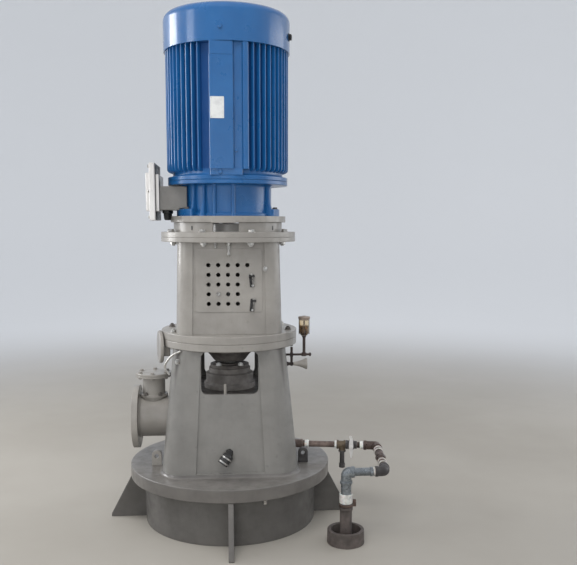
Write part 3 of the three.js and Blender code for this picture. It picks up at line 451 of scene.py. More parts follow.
def machine_grey(name, light, dark, dust, rough=0.42, inside=None, rim_highlight=None):
    """Brushed-on machine paint over a casting: cloudy, slightly lumpy, dusty on top. inside is a
    painted-shade colour for the stool's inner faces, seen through its windows, rim a painted-highlight
    colour for the edge of the box's flange."""
    f = Finish(name, Coat_Weight=0.35, Coat_Roughness=0.14)
    cloud = f.patches(5, 6, 0.32, 0.72)
    streak = f.patches(7, 5, 0.5, 0.8, 0.0, 0.45, (5, 5, 0.7))
    paint = f.mix(streak, f.mix(cloud, light, dark), dark)
    stain = f.patches(28, 6, 0.62, 0.82, 0.0, 0.5)
    paint = f.mix(stain, paint, [STAIN * part for part in dark])
    dusty = f.math("MULTIPLY", f.facing_up(), f.patches(14, 6, 0.3, 0.7, 0.25, 0.85))
    paint = f.mix(dusty, paint, dust)
    # Painted shade: the stool's inner faces, seen through its windows, take the dark colour
    if inside:
        spot = f.axes()
        across = f.math("MAXIMUM", *(f.math("ABSOLUTE", spot[axis]) for axis in "XY"))
        painted_inside_shade = f.math("MULTIPLY", f.ramp(across, *STOOL_INSIDE), f.height(*STOOL_FLOOR))
        paint = f.mix(painted_inside_shade, paint, inside)
    # Painted highlight: the edge of the box's flange is painted pale, where light from the left falls on
    # it
    if rim_highlight:
        paint = f.mix(f.ramp(f.axes()["X"], *BOX_RIM), paint, rim_highlight)
    f.colour(paint)
    f.roughness(f.patches(20, 6, 0.3, 0.75, rough - 0.08, rough + 0.16))
    f.bump(f.noise(34, 5), 0.0022, 0.35)
    f.bump(f.noise(190, 3), 0.0006, 0.25)
    return f.material


def patchy(name, clouds, first, second, gloss, bump, **sockets):
    """A finish whose colour and roughness change in patches."""
    f = Finish(name, **sockets)
    f.colour(f.mix(f.patches(*clouds), first, second))
    f.roughness(f.patches(*gloss))
    f.bump(f.noise(*bump[:-2]), *bump[-2:])
    return f.material


def dark_iron(name, light, dark, metallic=0.35, rough=0.5):
    """Bare or blackened iron with oily patches."""
    gloss = (45, 5, 0.3, 0.7, rough - 0.14, rough + 0.16)
    return patchy(name, (16, 6, 0.35, 0.7), dark, light, gloss, (120, 5, 0.0007, 0.4), Metallic=metallic)


def pipe_steel():
    """Brown mill-scaled pipe with rust blooms."""
    f = Finish("pipe_steel", Metallic=0.45)
    base = f.mix(f.patches(26, 6, 0.35, 0.7), (0.13, 0.098, 0.085), (0.26, 0.2, 0.175))
    f.colour(f.mix(f.patches(70, 6, 0.6, 0.78, 0.0, 0.7), base, (0.16, 0.07, 0.035)))
    f.roughness(f.patches(50, 5, 0.3, 0.75, 0.36, 0.66))
    f.bump(f.noise(160, 5), 0.0006, 0.4)
    return f.material


def galvanised():
    """Weathered zinc with faint spangle."""
    f = Finish("galvanised", Metallic=0.65)
    spread = f.node("TexVoronoi", Vector=f.coords, Scale=85.0)
    spangle = f.node("SeparateColor", Color=spread.outputs["Color"]).outputs["Red"]
    base = f.mix(f.ramp(spangle, 0.0, 1.0), (0.178, 0.198, 0.213), (0.268, 0.292, 0.31))
    f.colour(f.mix(f.patches(24, 6, 0.5, 0.75, 0.0, 0.6), base, (0.09, 0.098, 0.105)))
    f.roughness(f.patches(40, 5, 0.3, 0.7, 0.24, 0.42))
    f.bump(f.noise(140, 4), 0.0003, 0.2)
    return f.material


def tape(name, light, dark):
    """Thread-sealing tape in overlapping turns."""
    return patchy(name, (60, 5, 0.4, 0.7), light, dark, (80, 3, 0.3, 0.7, 0.45, 0.65),
                  (150, 4, (1, 1, 3), 0.0008, 0.5), Subsurface_Weight=0.1)


def amber():
    """Clear glass; the oil inside has its own finish."""
    f = Finish("clear_glass", Transmission_Weight=1.0, Roughness=0.04, IOR=1.45)
    f.colour(f.mix(f.patches(40, 4, 0.45, 0.8), (0.95, 0.86, 0.7), (0.8, 0.62, 0.4)))
    f.bump(f.noise(60, 2), 0.0004, 0.2)
    return f.material


def oil():
    f = Finish("oil", Roughness=0.12, Transmission_Weight=0.55, IOR=1.47)
    f.colour(f.mix(f.height(1.02, 1.09), (0.1, 0.035, 0.014), (0.34, 0.21, 0.1)))
    f.bump(f.noise(30, 2), 0.0005, 0.1)
    return f.material


BLUE = enamel("blue_enamel", 0.7, 0.12)
# The castings are duller than the sheet cover
FRAME_BLUE = enamel("frame_enamel", 0.35, 0.27)
PALE = (0.66, 0.65, 0.64)
GREY = machine_grey(
    "machine_grey", (0.29, 0.275, 0.252), (0.225, 0.213, 0.196), (0.34, 0.322, 0.295))
LID_GREY = machine_grey("pale_lid", PALE, (0.55, 0.54, 0.53), (0.66, 0.65, 0.62), 0.35)
BASE_GREY = machine_grey(
    "soiled_grey", (0.138, 0.13, 0.121), (0.1, 0.094, 0.088), (0.172, 0.162, 0.15))
# The box's grey, with a painted pale highlight on its flange's edge
BOX_GREY = machine_grey(
    "box_grey", (0.178, 0.172, 0.162), (0.136, 0.132, 0.125), (0.27, 0.262, 0.248), 0.38,
    rim_highlight=PALE)
# The stool's grey, with painted shade on its inner faces
STOOL_GREY = machine_grey(
    "stool_grey", (0.195, 0.19, 0.178), (0.152, 0.148, 0.139), (0.26, 0.248, 0.23),
    inside=(0.05, 0.044, 0.04))
DARK_GREY = machine_grey(
    "dusty_dark_grey", (0.105, 0.1, 0.094), (0.075, 0.071, 0.066), (0.24, 0.225, 0.2), 0.55)
HOUSING_IRON = dark_iron("housing_iron", (0.22, 0.207, 0.196), (0.13, 0.121, 0.114), 0.1, 0.6)
IRON = dark_iron("oily_iron", (0.17, 0.158, 0.147), (0.088, 0.08, 0.075), 0.25, 0.55)
BLACK = dark_iron("black_fitting", (0.035, 0.034, 0.034), (0.012, 0.012, 0.012), 0.1, 0.45)
LATCH = dark_iron("latch_steel", (0.3, 0.29, 0.27), (0.06, 0.055, 0.05), 0.7, 0.35)
BRASS = dark_iron("valve_bronze", (0.17, 0.132, 0.09), (0.065, 0.05, 0.038), 0.5, 0.45)
RUSTY = dark_iron("rusty_pipe", (0.15, 0.108, 0.092), (0.055, 0.04, 0.035), 0.5, 0.4)
DARK_PIPE = dark_iron("dark_pipe", (0.1, 0.095, 0.095), (0.045, 0.042, 0.042), 0.3, 0.5)
CUP = dark_iron("cup_iron", (0.12, 0.1, 0.092), (0.07, 0.06, 0.055), 0.1, 0.7)
CAP = dark_iron("cap_metal", (0.33, 0.27, 0.225), (0.15, 0.12, 0.1), 0.3, 0.4)
OILER_IRON = dark_iron("oiler_iron", (0.05, 0.035, 0.031), (0.022, 0.016, 0.015), 0.2)
# Plated bolts and turned steel
STEEL = patchy(
    "plated_steel", (60, 5, 0.4, 0.75), (0.62, 0.61, 0.58), (0.3, 0.28, 0.26),
    (90, 4, 0.3, 0.7, 0.24, 0.42), (320, 3, 0.0002, 0.3), Metallic=0.9)
PIPE = pipe_steel()
ZINC = galvanised()
TAPE = tape("thread_tape", (0.82, 0.81, 0.79), (0.62, 0.6, 0.57))
GREY_TAPE = tape("soiled_tape", (0.5, 0.48, 0.45), (0.3, 0.28, 0.26))
BAND = tape("pipe_band", (0.6, 0.59, 0.57), (0.4, 0.39, 0.37))
GLASS = amber()
OIL = oil()
# Brushed sheet of the nameplate
PLATE = patchy(
    "plate_metal", (25, 5, 0.4, 0.7), (0.72, 0.73, 0.72), (0.58, 0.59, 0.59),
    (120, 3, 0.3, 0.7, 0.28, 0.42, (1, 1, 8)), (200, 3, 0.0001, 0.3), Metallic=0.25)

# The record's material slots and the finishes that belong to them
SLOT_FINISHES = {
    "blue_paint": (BLUE, FRAME_BLUE),
    "grey_paint": (GREY, BOX_GREY, STOOL_GREY, LID_GREY, BASE_GREY),
    "dark_grey_paint": (DARK_GREY,),
    "cast_iron": (IRON, HOUSING_IRON, OILER_IRON),
    "black_iron": (BLACK,),
    "rusty_steel": (BRASS, RUSTY, DARK_PIPE, CUP, PIPE),
    "bright_steel": (STEEL, LATCH, CAP),
    "galvanised_steel": (ZINC,),
    "bare_plate": (TAPE, GREY_TAPE, BAND, PLATE),
    "amber_glass": (GLASS, OIL),
}
SLOTS = {finish.name: slot for slot, finishes in SLOT_FINISHES.items() for finish in finishes}


# Base and stool

# Heights of the base plate's faces, and of the joint between stool and lantern
PLATE_BOTTOM = 0.25
PLATE_TOP = 0.318
MIDDLE_JOINT = 1.001
RIBS = ("right", "back", "left", "front")
# The upright welds' reach from the axis, and their distance from a rib's middle
WELD_REACH = 0.4635
WELD_ASIDE = 0.0145
JACK_REACH = 0.5


def make_base():
    ring = Shape().ring(0.443, 0.463, 0, PLATE_BOTTOM - SEAT, 0.003, steps=128)
    ring.replace("base_ring", DARK_GREY)
    dress("pump_barrel", DARK_GREY, 0.003)
    Shape().disc(0.54, PLATE_BOTTOM, PLATE_TOP, 0.006, steps=160).replace("base_plate", BASE_GREY)
    welds = Shape()
    for i, side in enumerate(RIBS):
        # The front rib takes the lighter plate grey: painted light on the rib that faces the lamps
        dress("base_rib_" + side, BASE_GREY if side == "front" else DARK_GREY, 0.003, "dark_grey_paint")
        degrees = 90 - 90 * i
        for aside in (-WELD_ASIDE, WELD_ASIDE):
            head = radial(WELD_REACH, aside, 0.246, degrees)
            welds.bar(radial(WELD_REACH, aside, 0.004, degrees), head, 0.005, 8)
            welds.bar(head, radial(0.53, aside, 0.247, degrees), 0.004, 8)
    welds.turned([(0.4625, 0.2435), (0.4705, 0.2498), (0.4625, 0.2498)], steps=128, closed=True)
    welds.make("base_welds", DARK_GREY)
    jacks = Shape()
    for angle in (19.8, 109.8, 199.8, 289.8):
        seat = polar(JACK_REACH, angle, PLATE_BOTTOM)
        jacks.bar(polar(JACK_REACH, angle, 0.218), seat, 0.009, 16, soft=0.002)
        jacks.hexagon(seat, DOWN, 0.026, 0.012, math.radians(angle))
    jacks.make("levelling_screws", STEEL)


def square_outline(half, corner, out, z, steps=12):
    """Points round a square with round corners, moved outwards by out."""
    inner = half - corner
    reach = corner + out
    points = []
    for x, y, quarter in ((inner, inner, 0), (-inner, inner, 1), (-inner, -inner, 2), (inner, -inner, 3)):
        for step in range(steps + 1):
            a = (quarter + step / steps) * math.pi / 2
            points.append(Vector((x + reach * math.cos(a), y + reach * math.sin(a), z)))
    return points


def make_stool():
    dress("lower_stool", STOOL_GREY, 0.012)
    foot = PLATE_TOP + SEAT
    section = [(-0.006, foot), (0.016, foot), (0.0085, 0.3205), (0.003, 0.3265), (0.0, 0.335),
               (-0.006, 0.335)]
    fillet = Shape()
    fillet.rows([square_outline(0.355, 0.12, out, z) for out, z in section], closed=True)
    fillet.make("stool_foot_fillet", BASE_GREY)
    Shape().ring(0.232, 0.362, 0.964, MIDDLE_JOINT - SEAT, 0.004).replace("stool_top_flange", GREY)
    dress("lifting_lug", GREY, 0.006)
    dress("base_lug_left", GREY, 0.004, "black_iron")
    dress("base_lug_right", DARK_PIPE, 0.004, "black_iron")
    eye = [(-0.306, -0.25, 0.835), (-0.336, -0.25, 0.878), (-0.296, -0.262, 0.936), (-0.246, -0.28, 0.96)]
    rod = Shape().bend(eye, 0.03, 0.0055, 4, 12)
    rod.bolt((-0.262, -0.2725, 0.905), (-0.35, -0.93, 0.1), 0.014, stud=0.006)
    rod.make("bent_eye_rod", STEEL)
    # A short stub that stands on the front window's sill
    stub = Shape().bar((-0.024, -0.285, 0.722), (-0.024, -0.285, 0.79), 0.0075, 20, soft=0.003)
    stub.make("sill_stub", GREY)


NOZZLE_Z = 0.561
BORE = 0.1
VENT = Vector((-0.41, 0, 0))


def make_nozzle():
    at = place((-0.30, 0, NOZZLE_Z), LEFT)
    nozzle = Shape()
    wall = [(BORE, 0.0), (0.1095, 0.0), (0.1095, 0.176), (0.118, 0.187, 0.01), (0.118, 0.192),
            (BORE, 0.192)]
    nozzle.lathe(wall, 0.0006, at)
    holes = [circle(0.011, 20, polar(0.1475, angle).xy) for angle in eight(22.5)]
    nozzle.prism(circle(0.17, 96), 0.186, 0.2185, at, [circle(BORE, 96), *holes])
    nozzle.ring(BORE, 0.1335, 0.2184, 0.22, 0.0006, at)
    nozzle.replace("discharge_nozzle", GREY, bevel=0.0015)
    # The bead leans as the stool's wall does
    lean = math.radians(5.6)
    bead = [(0.1075, -0.003), (0.122, -0.003), (0.119, 0.004), (0.113, 0.0085), (0.1075, 0.0105)]
    at = place((-0.3195, 0, NOZZLE_Z), (-math.cos(lean), 0, math.sin(lean)))
    Shape().turned(bead, at, closed=True).make("nozzle_weld", GREY)


def make_vent():
    dress("vent_neck", GREY, 0.004)
    Shape().disc(0.096, 0.793, 0.804, 0.003, Matrix.Translation(VENT)).replace("vent_cover", GREY)
    nuts = Shape()
    for angle in range(0, 360, 60):
        for z, way in ((0.804, UP), (0.782, DOWN)):
            nuts.bolt(VENT + polar(0.079, angle, z), way, 0.012, math.radians(30))
    nuts.make("vent_cover_bolts", GREY)
    studs = Shape()
    for angle in (34, 146, 214, 326):
        studs.bolt(VENT + polar(0.0675, angle, 0.687), UP, 0.012, 0.3, stud=0.006)
    studs.make("vent_collar_nuts", IRON)


# Seal, bearing and rotor

# The shaft's radius, and that of the bores of the pieces that sit on it
SHAFT = 0.032
SHAFT_SEAT = 0.0323


def make_seal():
    chamber = [(0, 0.7203), (0.138, 0.7203, 0.002), (0.138, 0.75, 0.004), (0.128, 0.754, 0.003),
               (0.128, 0.8, 0.003), (0.112, 0.806, 0.003), (0.112, 0.83, 0.003), (0.037, 0.83, 0.001),
               (0.037, 0.7705), (0, 0.7705)]
    Shape().lathe(chamber, 0.002).replace("seal_chamber", HOUSING_IRON)
    gland = [(0.037, 0.8303), (0.104, 0.8303), (0.104, 0.848), (0.084, 0.85), (0.084, 0.856),
             (0.037, 0.856)]
    Shape().lathe(gland, 0.002).replace("seal_gland", IRON)
    # The nuts take the pale plate finish: their own plated colour with a painted glint over it
    studs = Shape()
    for degrees in (52, 128, 232, 308):
        studs.bolt(polar(0.094, degrees + 90, 0.848), UP, 0.015, math.radians(degrees), stud=0.003)
    studs.make("gland_studs", PLATE)
    housing = [(0.048, 0.868), (0.084, 0.868, 0.004), (0.105, 0.897, 0.006), (0.1247, 0.917, 0.006),
               (0.1247, 1.0403, 0.001), (0.168, 1.0403), (0.168, 1.064, 0.003), (0.132, 1.064, 0.006),
               (0.132, 1.16, 0.006), (0.112, 1.18, 0.006), (0.0324, 1.18), (0.0324, 0.926),
               (0.048, 0.926)]
    Shape().lathe(housing, 0.001).replace("bearing_housing", IRON, "grey_paint")
    Shape().bolts_round(0.151, eight(22.5), 1.064, 1, 0.014).make("housing_bolts", STEEL)


def make_rotor():
    Shape().disc(SHAFT, 0.79, 1.698, 0.001, steps=64).replace("pump_shaft", STEEL, body=ROTOR)
    sleeve = Shape().ring(SHAFT_SEAT, 0.042, 0.861, 0.921, 0.002, steps=64)
    sleeve.replace("shaft_sleeve", IRON, body=ROTOR)
    collar = Shape().ring(SHAFT_SEAT, 0.091, 1.544, 1.602, 0.004)
    collar.replace("shaft_collar", LID_GREY, "cast_iron", ROTOR)
    halves = [(SHAFT_SEAT, 1.24), (0.062, 1.24, 0.003), (0.062, 1.3, 0.006), (0.095, 1.306, 0.003),
              (0.095, 1.328, 0.003), (0.072, 1.33, 0.002), (0.072, 1.35, 0.002), (0.095, 1.352, 0.003),
              (0.095, 1.374, 0.003), (0.062, 1.38, 0.006), (0.062, 1.44, 0.003), (SHAFT_SEAT, 1.44)]
    coupling = Shape().lathe(halves, 0.001)
    for angle in eight(0):
        spot = polar(0.083, angle)
        coupling.hexagon(spot + UP * 1.374, UP, 0.018, 0.009)
        coupling.hexagon(spot + UP * 1.306, DOWN, 0.018, 0.007)
        coupling.bar(spot + UP * 1.326, spot + UP * 1.354, 0.005, 12)
    coupling.replace("shaft_coupling", IRON, body=ROTOR)


# Lantern, guards and adapter

# The guard's lower edge, how far its face leans back, its size, and the holes in its own plane
GUARD_FOOT = (0.2594, 1.156)
GUARD_LEAN = math.radians(1.418)
GUARD_HALF = 0.168
GUARD_HEIGHT = 0.32
GUARD_THICKNESS = 0.003
HOLE_PITCH = 0.0488
HOLE_RADIUS = 0.0105


def make_guard(name, turn, shift=0.0):
    up = Vector((0, math.sin(GUARD_LEAN), math.cos(GUARD_LEAN)))
    foot = Matrix.Translation((0, -GUARD_FOOT[0] - SEAT, GUARD_FOOT[1]))
    at = Matrix.Rotation(turn, 4, "Z") @ foot @ axes_matrix(RIGHT, up, RIGHT.cross(up))
    out = at.to_3x3() @ UP
    holes = []
    # The top row has one hole more
    for row, count in enumerate((5, 4, 4, 4, 4)):
        for column in range(count):
            spot = (shift - 0.102 + column * HOLE_PITCH, 0.237 - row * HOLE_PITCH)
            holes.append(circle(HOLE_RADIUS, 24, spot))
    outline = rectangle(-GUARD_HALF, 0, GUARD_HALF, GUARD_HEIGHT, 0.012)
    Shape().prism(outline, 0, GUARD_THICKNESS, at, holes).replace(name, GREY, bevel=0.0012)

    fixings, plates, handles = Shape(), Shape(), Shape()
    fixings.bolt(at @ Vector((-0.0532, 0.0906, GUARD_THICKNESS)), out, 0.009)
    fixings.bolt(at @ Vector((0.184, 0.218, 0.009)), out, 0.011)
    for x, y, lean in ((0.117, 0.16, 0.1), (0.12, 0.036, -0.1)):
        spot = at @ Matrix.Translation((x, y, GUARD_THICKNESS)) @ Matrix.Rotation(lean, 4, "Z")
        plates.block((-0.014, -0.034, 0), (0.0085, 0.03, 0.002), spot, 0.003)
        handles.block((-0.001, -0.034, 0.002), (0.0085, 0.026, 0.0095), spot, 0.002)
        for shape, start, end, radius in (
                (plates, (-0.0145, 0.021, 0.006), (0.0145, 0.021, 0.006), 0.006),
                (fixings, (0, -0.026, 0.002), (0, -0.026, 0.014), 0.006),
                (fixings, (0, 0.03, 0.002), (0, 0.03, 0.01), 0.005)):
            shape.bar(spot @ Vector(start), spot @ Vector(end), radius, 12, 0.001)
    fixings.make(name + "_screws", STEEL)
    plates.make(name + "_latch_plates", BLACK, bevel=0.0006)
    handles.make(name + "_latches", LATCH, bevel=0.0006)


# The first angle of the bolts between lantern and adapter, and the heights of their flange's
# underside and of the motor's foot
TOP_BOLTS = -69
TOP_FLANGE_BOTTOM = 1.507
MOTOR_FOOT = 1.6383


def make_lantern():
    dress("upper_lantern", GREY, 0.006)
    Shape().ring(0.125, 0.362, MIDDLE_JOINT, 1.04, 0.004).replace("lantern_base_flange", GREY)
    top = Shape().ring(0.218, 0.355, TOP_FLANGE_BOTTOM, 1.531 - SEAT, 0.003)
    top.replace("lantern_top_flange", GREY)
    for name, finish, angles in (("middle_flange_bolts", STEEL, (-64, -39.5, 116, 140.5)),
                                 ("middle_flange_nuts", IRON, (-104, 76))):
        bolts = Shape().bolts_round(0.322, angles, 1.04, 1, 0.016, stud=0.006)
        bolts.bolts_round(0.335, angles, 0.964, -1, 0.016).make(name, finish)
    bolts = Shape().bolts_round(0.305, eight(TOP_BOLTS), TOP_FLANGE_BOTTOM, -1, 0.018, stud=0.006)
    bolts.make("top_flange_bolts", STEEL)
    # Grease nipple and a small plug under the top flange, at the front
    grease = Shape().hexagon((0, -0.2665, 1.5065), DOWN, 0.02, 0.016)
    nipple = [(0, 0), (0.0075, 0), (0.0075, 0.02), (0.005, 0.024), (0.005, 0.032), (0.0075, 0.036),
              (0.0075, 0.047), (0.003, 0.054), (0, 0.054)]
    grease.turned(nipple, place((0, -0.2665, 1.4905), DOWN), 16)
    grease.bar((-0.067, -0.268, 1.5065), (-0.067, -0.268, 1.478), 0.006, 12, soft=0.002)
    grease.make("grease_nipples", STEEL)


def make_adapter():
    dress("motor_adapter", GREY, 0.003)
    Shape().ring(0.15, 0.303, 1.606 + SEAT, MOTOR_FOOT - SEAT, 0.003).replace("adapter_plate", GREY)
    section = ((0.296, 1.6035), (0.305, 1.6035), (0.305, 1.6225), (0.296, 1.6225))
    arc = [-16.2 + 23.6 * step / 12 for step in range(13)]
    lip = Shape().loft([[polar(r, angle, z) for r, z in section] for angle in arc])
    lip.make("adapter_lip", GREY, bevel=0.002)
    Shape().bolts_round(0.318, eight(TOP_BOLTS), 1.557, 1, 0.018).make("adapter_bolts", STEEL)
    slots = Shape()
    for angle in (-39, 51, 141, 231):
        at = place(polar(0.2895, angle, 1.578), polar(1, angle))
        slots.block((-0.004, -0.011, 0), (0.004, 0.011, 0.0012), at, 0.003)
    slots.make("adapter_slots", BLACK)


# Motor

# Heights at which the finned frame and the fan cover start
FRAME_FOOT = 1.8163
COVER_FOOT = 2.4663
# The middle angles of the bracket's ribs, and the reach of their roots
FLARED_RIBS = (-68, -47, -31, 60, 112, 157, -158, -113)
SLIM_RIBS = (-17.2, 6.4, 162.8, 186.4)
RIB_ROOT = 0.215


def bracket_rib(shape, degrees, rows):
    """Rows are height, reach from the axis and width. The outer edge is round."""
    rings = []
    for z, reach, width in rows:
        half = width / 2
        ring = [radial(RIB_ROOT, -half, z, degrees)]
        for step in range(9):
            a = math.pi * (step / 8 - 0.5)
            ring.append(radial(reach - half + half * math.cos(a), half * math.sin(a), z, degrees))
        ring.append(radial(RIB_ROOT, half, z, degrees))
        rings.append(ring)
    shape.loft(rings)


def make_bracket():
    profile = [(0, 1.704), (0.038, 1.704), (0.038, MOTOR_FOOT), (0.24, MOTOR_FOOT, 0.002),
               (0.24, 1.652, 0.003), (0.228, 1.653, 0.006), (0.228, 1.796, 0.016), (0.313, 1.796, 0.004),
               (0.313, 1.8157, 0.003), (0, 1.8157)]
    flared = ((1.6385, 0.2685, 0.03), (1.65, 0.266, 0.026), (1.662, 0.2615, 0.022),
              (1.675, 0.2565, 0.019), (1.7, 0.2505, 0.017), (1.73, 0.2475, 0.016), (1.77, 0.246, 0.016),
              (1.784, 0.248, 0.018), (1.793, 0.255, 0.022), (1.798, 0.266, 0.028))
    slim = ((1.6385, 0.2455, 0.024), (1.648, 0.243, 0.021), (1.665, 0.2415, 0.02),
            (1.775, 0.2415, 0.02), (1.788, 0.243, 0.021), (1.798, 0.248, 0.026))
    bracket = Shape().lathe(profile, 0.001, steps=128, bend=6)
    for angles, rows in ((FLARED_RIBS, flared), (SLIM_RIBS, slim)):
        for angle in angles:
            bracket_rib(bracket, angle, rows)
    bracket.replace("motor_end_bracket", FRAME_BLUE)
    ears, bolts = Shape(), Shape()
    for middle, half_span, spots in ((-90, 47, (-125, -78, -56)), (90, 31, (76, 101))):
        arc = [middle + half_span * (step / 12 - 1) for step in range(25)]
        outline = [polar(0.271, angle).xy for angle in arc]
        outline += [polar(0.222, angle).xy for angle in reversed(arc)]
        ears.prism(rounded(outline, 0.008), MOTOR_FOOT, 1.674)
        bolts.bolts_round(0.253, spots, 1.674, 1, 0.013)
    ears.make("motor_foot_ears", FRAME_BLUE, bevel=0.004)
    bolts.make("motor_foot_bolts", IRON)


# A fin's half section, from its root to its tip: reach from the axis, and distance from its middle
FIN_SIDE = ((0.284, 0.0105), (0.2862, 0.0075), (0.291, 0.0056), (0.3132, 0.004), (0.316, 0.0028))
FIN_TIP = 0.317
FIN_ROOT = 0.284
# Height, and how far out the fins reach there
FIN_ENDS = ((1.855, 0.2842), (1.8575, 0.2875), (1.8595, 0.296), (1.8625, 0.306), (1.867, 0.3125),
            (1.8735, 0.3163), (1.881, FIN_TIP), (2.466, FIN_TIP))
# The number of each half's fins, the angle of the first, and the angles that they and the pad span
FINS = 22
FIRST_FIN = 24
FINS_SPAN = 129
PAD_SPAN = 51
PAD_TOP = 2.4657
# The pad, its foot and head, and the web beside it: left, right, front, bottom and top
PAD_PARTS = ((-0.088, 0.030, 0.322, 1.866, 2.402), (-0.086, 0.073, 0.314, 1.8365, 1.8675),
             (-0.0865, 0.0295, 0.319, 2.4035, PAD_TOP), (0.027, 0.076, 0.3, 1.862, PAD_TOP))


def make_frame():
    section = []
    for half in (0, 180):
        for fin in range(FINS):
            angle = half + FIRST_FIN + fin * FINS_SPAN / (FINS - 1)
            section += [(r, -s, angle) for r, s in FIN_SIDE] + [(FIN_TIP, 0, angle)]
            section += [(r, s, angle) for r, s in reversed(FIN_SIDE)]
        last = half + FIRST_FIN + FINS_SPAN
        section += [(FIN_ROOT, 0, last + PAD_SPAN * step / 12) for step in range(1, 12)]
    body = Shape()
    body.loft([[radial(min(r, reach), s, z, angle) for r, s, angle in section]
               for z, reach in FIN_ENDS])
    neck = [(0, FRAME_FOOT), (0.313, FRAME_FOOT, 0.003), (0.313, 1.837, 0.004), (0.2935, 1.837, 0.004),
            (0.2865, 1.8455, 0.006), (0.2865, 1.8625), (0, 1.8625)]
    body.lathe(neck, 0.001, steps=128, bend=5)
    body.replace("motor_frame", FRAME_BLUE)

    pads, screws, plugs = Shape(), Shape(), Shape()
    for turn in (0, math.pi):
        at = Matrix.Rotation(turn, 4, "Z")
        for left, right, front, bottom, top in PAD_PARTS:
            outline = [(left, -0.26), (left, -front, 0.007), (right, -front, 0.007), (right, -0.26)]
            pads.prism(rounded(outline, 0.001), bottom, top, at)
        # The broad rib beside the web
        rib = [(0.072, -0.26), (0.0745, -0.3135, 0.008), (0.1035, -0.3065, 0.009), (0.106, -0.26)]
        pads.prism(rounded(rib, 0.001), 1.866, PAD_TOP, at)
        screws.bolt(at @ Vector((-0.036, -0.314, 1.851)), at @ FRONT, 0.011)
        plug = at @ Vector((0.042, -0.299, 1.957))
        plugs.bar(plug, plug + at @ FRONT * 0.007, 0.009, 24, soft=0.002)
    pads.make("motor_frame_pads", BLUE, bevel=0.003)
    screws.make("frame_screws", BLUE)
    plugs.make("frame_plugs", BLUE)


PLATE_THICKNESS = 0.0012


def make_nameplate():
    at = Matrix.Translation((-0.0495, -0.3223, 2.155)) @ Matrix.Rotation(math.pi / 2, 4, "X")
    edge = rectangle(-0.0335, -0.051, 0.0335, 0.051, 0.003)
    plate = Shape().prism(edge, 0, PLATE_THICKNESS, at)
    plate.prism(edge, 0.0008, 0.0017, at, [rectangle(-0.0305, -0.048, 0.0305, 0.048, 0.002)])
    plate.replace("nameplate", PLATE)
    rivets = Shape()
    dome = [(0, 0), (0.0022, 0), (0.0018, 0.0009), (0, 0.0012)]
    for x in (-0.0275, 0.0275):
        for y in (-0.045, 0.045):
            rivets.turned(dome, at @ place((x, y, PLATE_THICKNESS)), 12)
    rivets.make("nameplate_rivets", STEEL)


COVER_RADIUS = 0.325
COVER_TOP = 2.653
SHOULDER = 0.038
# The recess under the grille, and the grille's wires
INLET_FLOOR = 2.639
WIRE_RADIUS = 0.0022
HUB_RADIUS = 0.028
WIRE_PITCH = 0.0195


def make_fan_cover():
    # The shoulder is a quarter of a circle
    middle = (COVER_RADIUS - SHOULDER, COVER_TOP - SHOULDER)
    shoulder = [(*point, 0.0001) for point in circle(SHOULDER, 40, middle)[:11]]
    profile = [(0, COVER_FOOT), (COVER_RADIUS, COVER_FOOT, 0.002), *shoulder, (0.190, COVER_TOP, 0.003),
               (0.190, INLET_FLOOR, 0.002), (0, INLET_FLOOR)]
    Shape().lathe(profile, 0.001, steps=144).replace("fan_cover", BLUE)
    grille = Shape()
    for i in range(9):
        grille.turned(circle(WIRE_RADIUS, 8, (HUB_RADIUS + WIRE_PITCH * i, 2.6432)), closed=True)
    for angle in eight(0):
        grille.bar(polar(0.012, angle, 2.6418), polar(0.1865, angle, 2.6418), WIRE_RADIUS, 8)
    grille.disc(HUB_RADIUS, 2.6393, 2.6455, 0.002, steps=48)
    grille.replace("fan_grille", BLUE)
    Shape().disc(0.186, 2.6391, 2.6396, 0.0001).make("fan_inlet_shade", BLACK)
    for name, finish, first, z, size in (("fan_cover_screws", BLUE, -5.5, 2.53, 0.012),
                                         ("fan_cover_bolts", BLACK, 75.7, 2.54, 0.018)):
        fixings = Shape()
        for angle in (first, first + 180):
            fixings.bolt(polar(COVER_RADIUS, angle, z), polar(1, angle), size)
        fixings.make(name, finish)


def make_terminal_box():
    dress("terminal_box", BOX_GREY, 0.004)
    dress("terminal_box_lid", LID_GREY, 0.006)
    # A dark sheet on the lid's back, round the box's flange: painted shade on the lid's inner face
    at = Matrix.Translation((-0.3682, 0, 0)) @ axes_matrix(Vector((0, 1, 0)), UP, RIGHT)
    hole = rectangle(-0.1376, 1.6614, 0.1376, 1.8486)
    lid_shade = Shape().prism(rectangle(-0.157, 1.618, 0.157, 1.902, 0.004), 0, 0.0012, at, [hole])
    lid_shade.make("terminal_lid_painted_shade", BLACK)
    bolts = Shape()
    for y, z in ((-1, -1), (0, -1), (1, -1), (-1, 0), (1, 0), (-1, 1), (0, 1), (1, 1)):
        bolts.bolt((-0.3983, 0.143 * y, 1.76 + 0.127 * z), LEFT, 0.009)
    bolts.make("terminal_lid_bolts", STEEL)
    throat = [(0, 0), (0.018, 0), (0.018, 0.014, 0.001), (0.0165, 0.016, 0.001), (0.0175, 0.02, 0.003),
              (0.0135, 0.034, 0.003), (0.008, 0.034), (0.008, 0.02), (0, 0.02)]
    for name, y in (("cable_gland_1", -0.052), ("cable_gland_2", 0.052)):
        top = Vector((-0.318, y, 1.6677))
        gland = Shape().hexagon(top, DOWN, 0.042, 0.016)
        gland.lathe(throat, 0.001, place(top + DOWN * 0.016, DOWN), 32)
        gland.replace(name, BLACK)


# Oiler

# Where the glass stands, the X of the pipe's knuckle, and the heights of the horn and the upper arm
OILER_X = 0.39
OILER_Y = -0.17
KNUCKLE_X = 0.3245
HORN_Z = 0.87
ARM_Z = 0.919


def oiler_point(x, z):
    return Vector((x, OILER_Y, z))


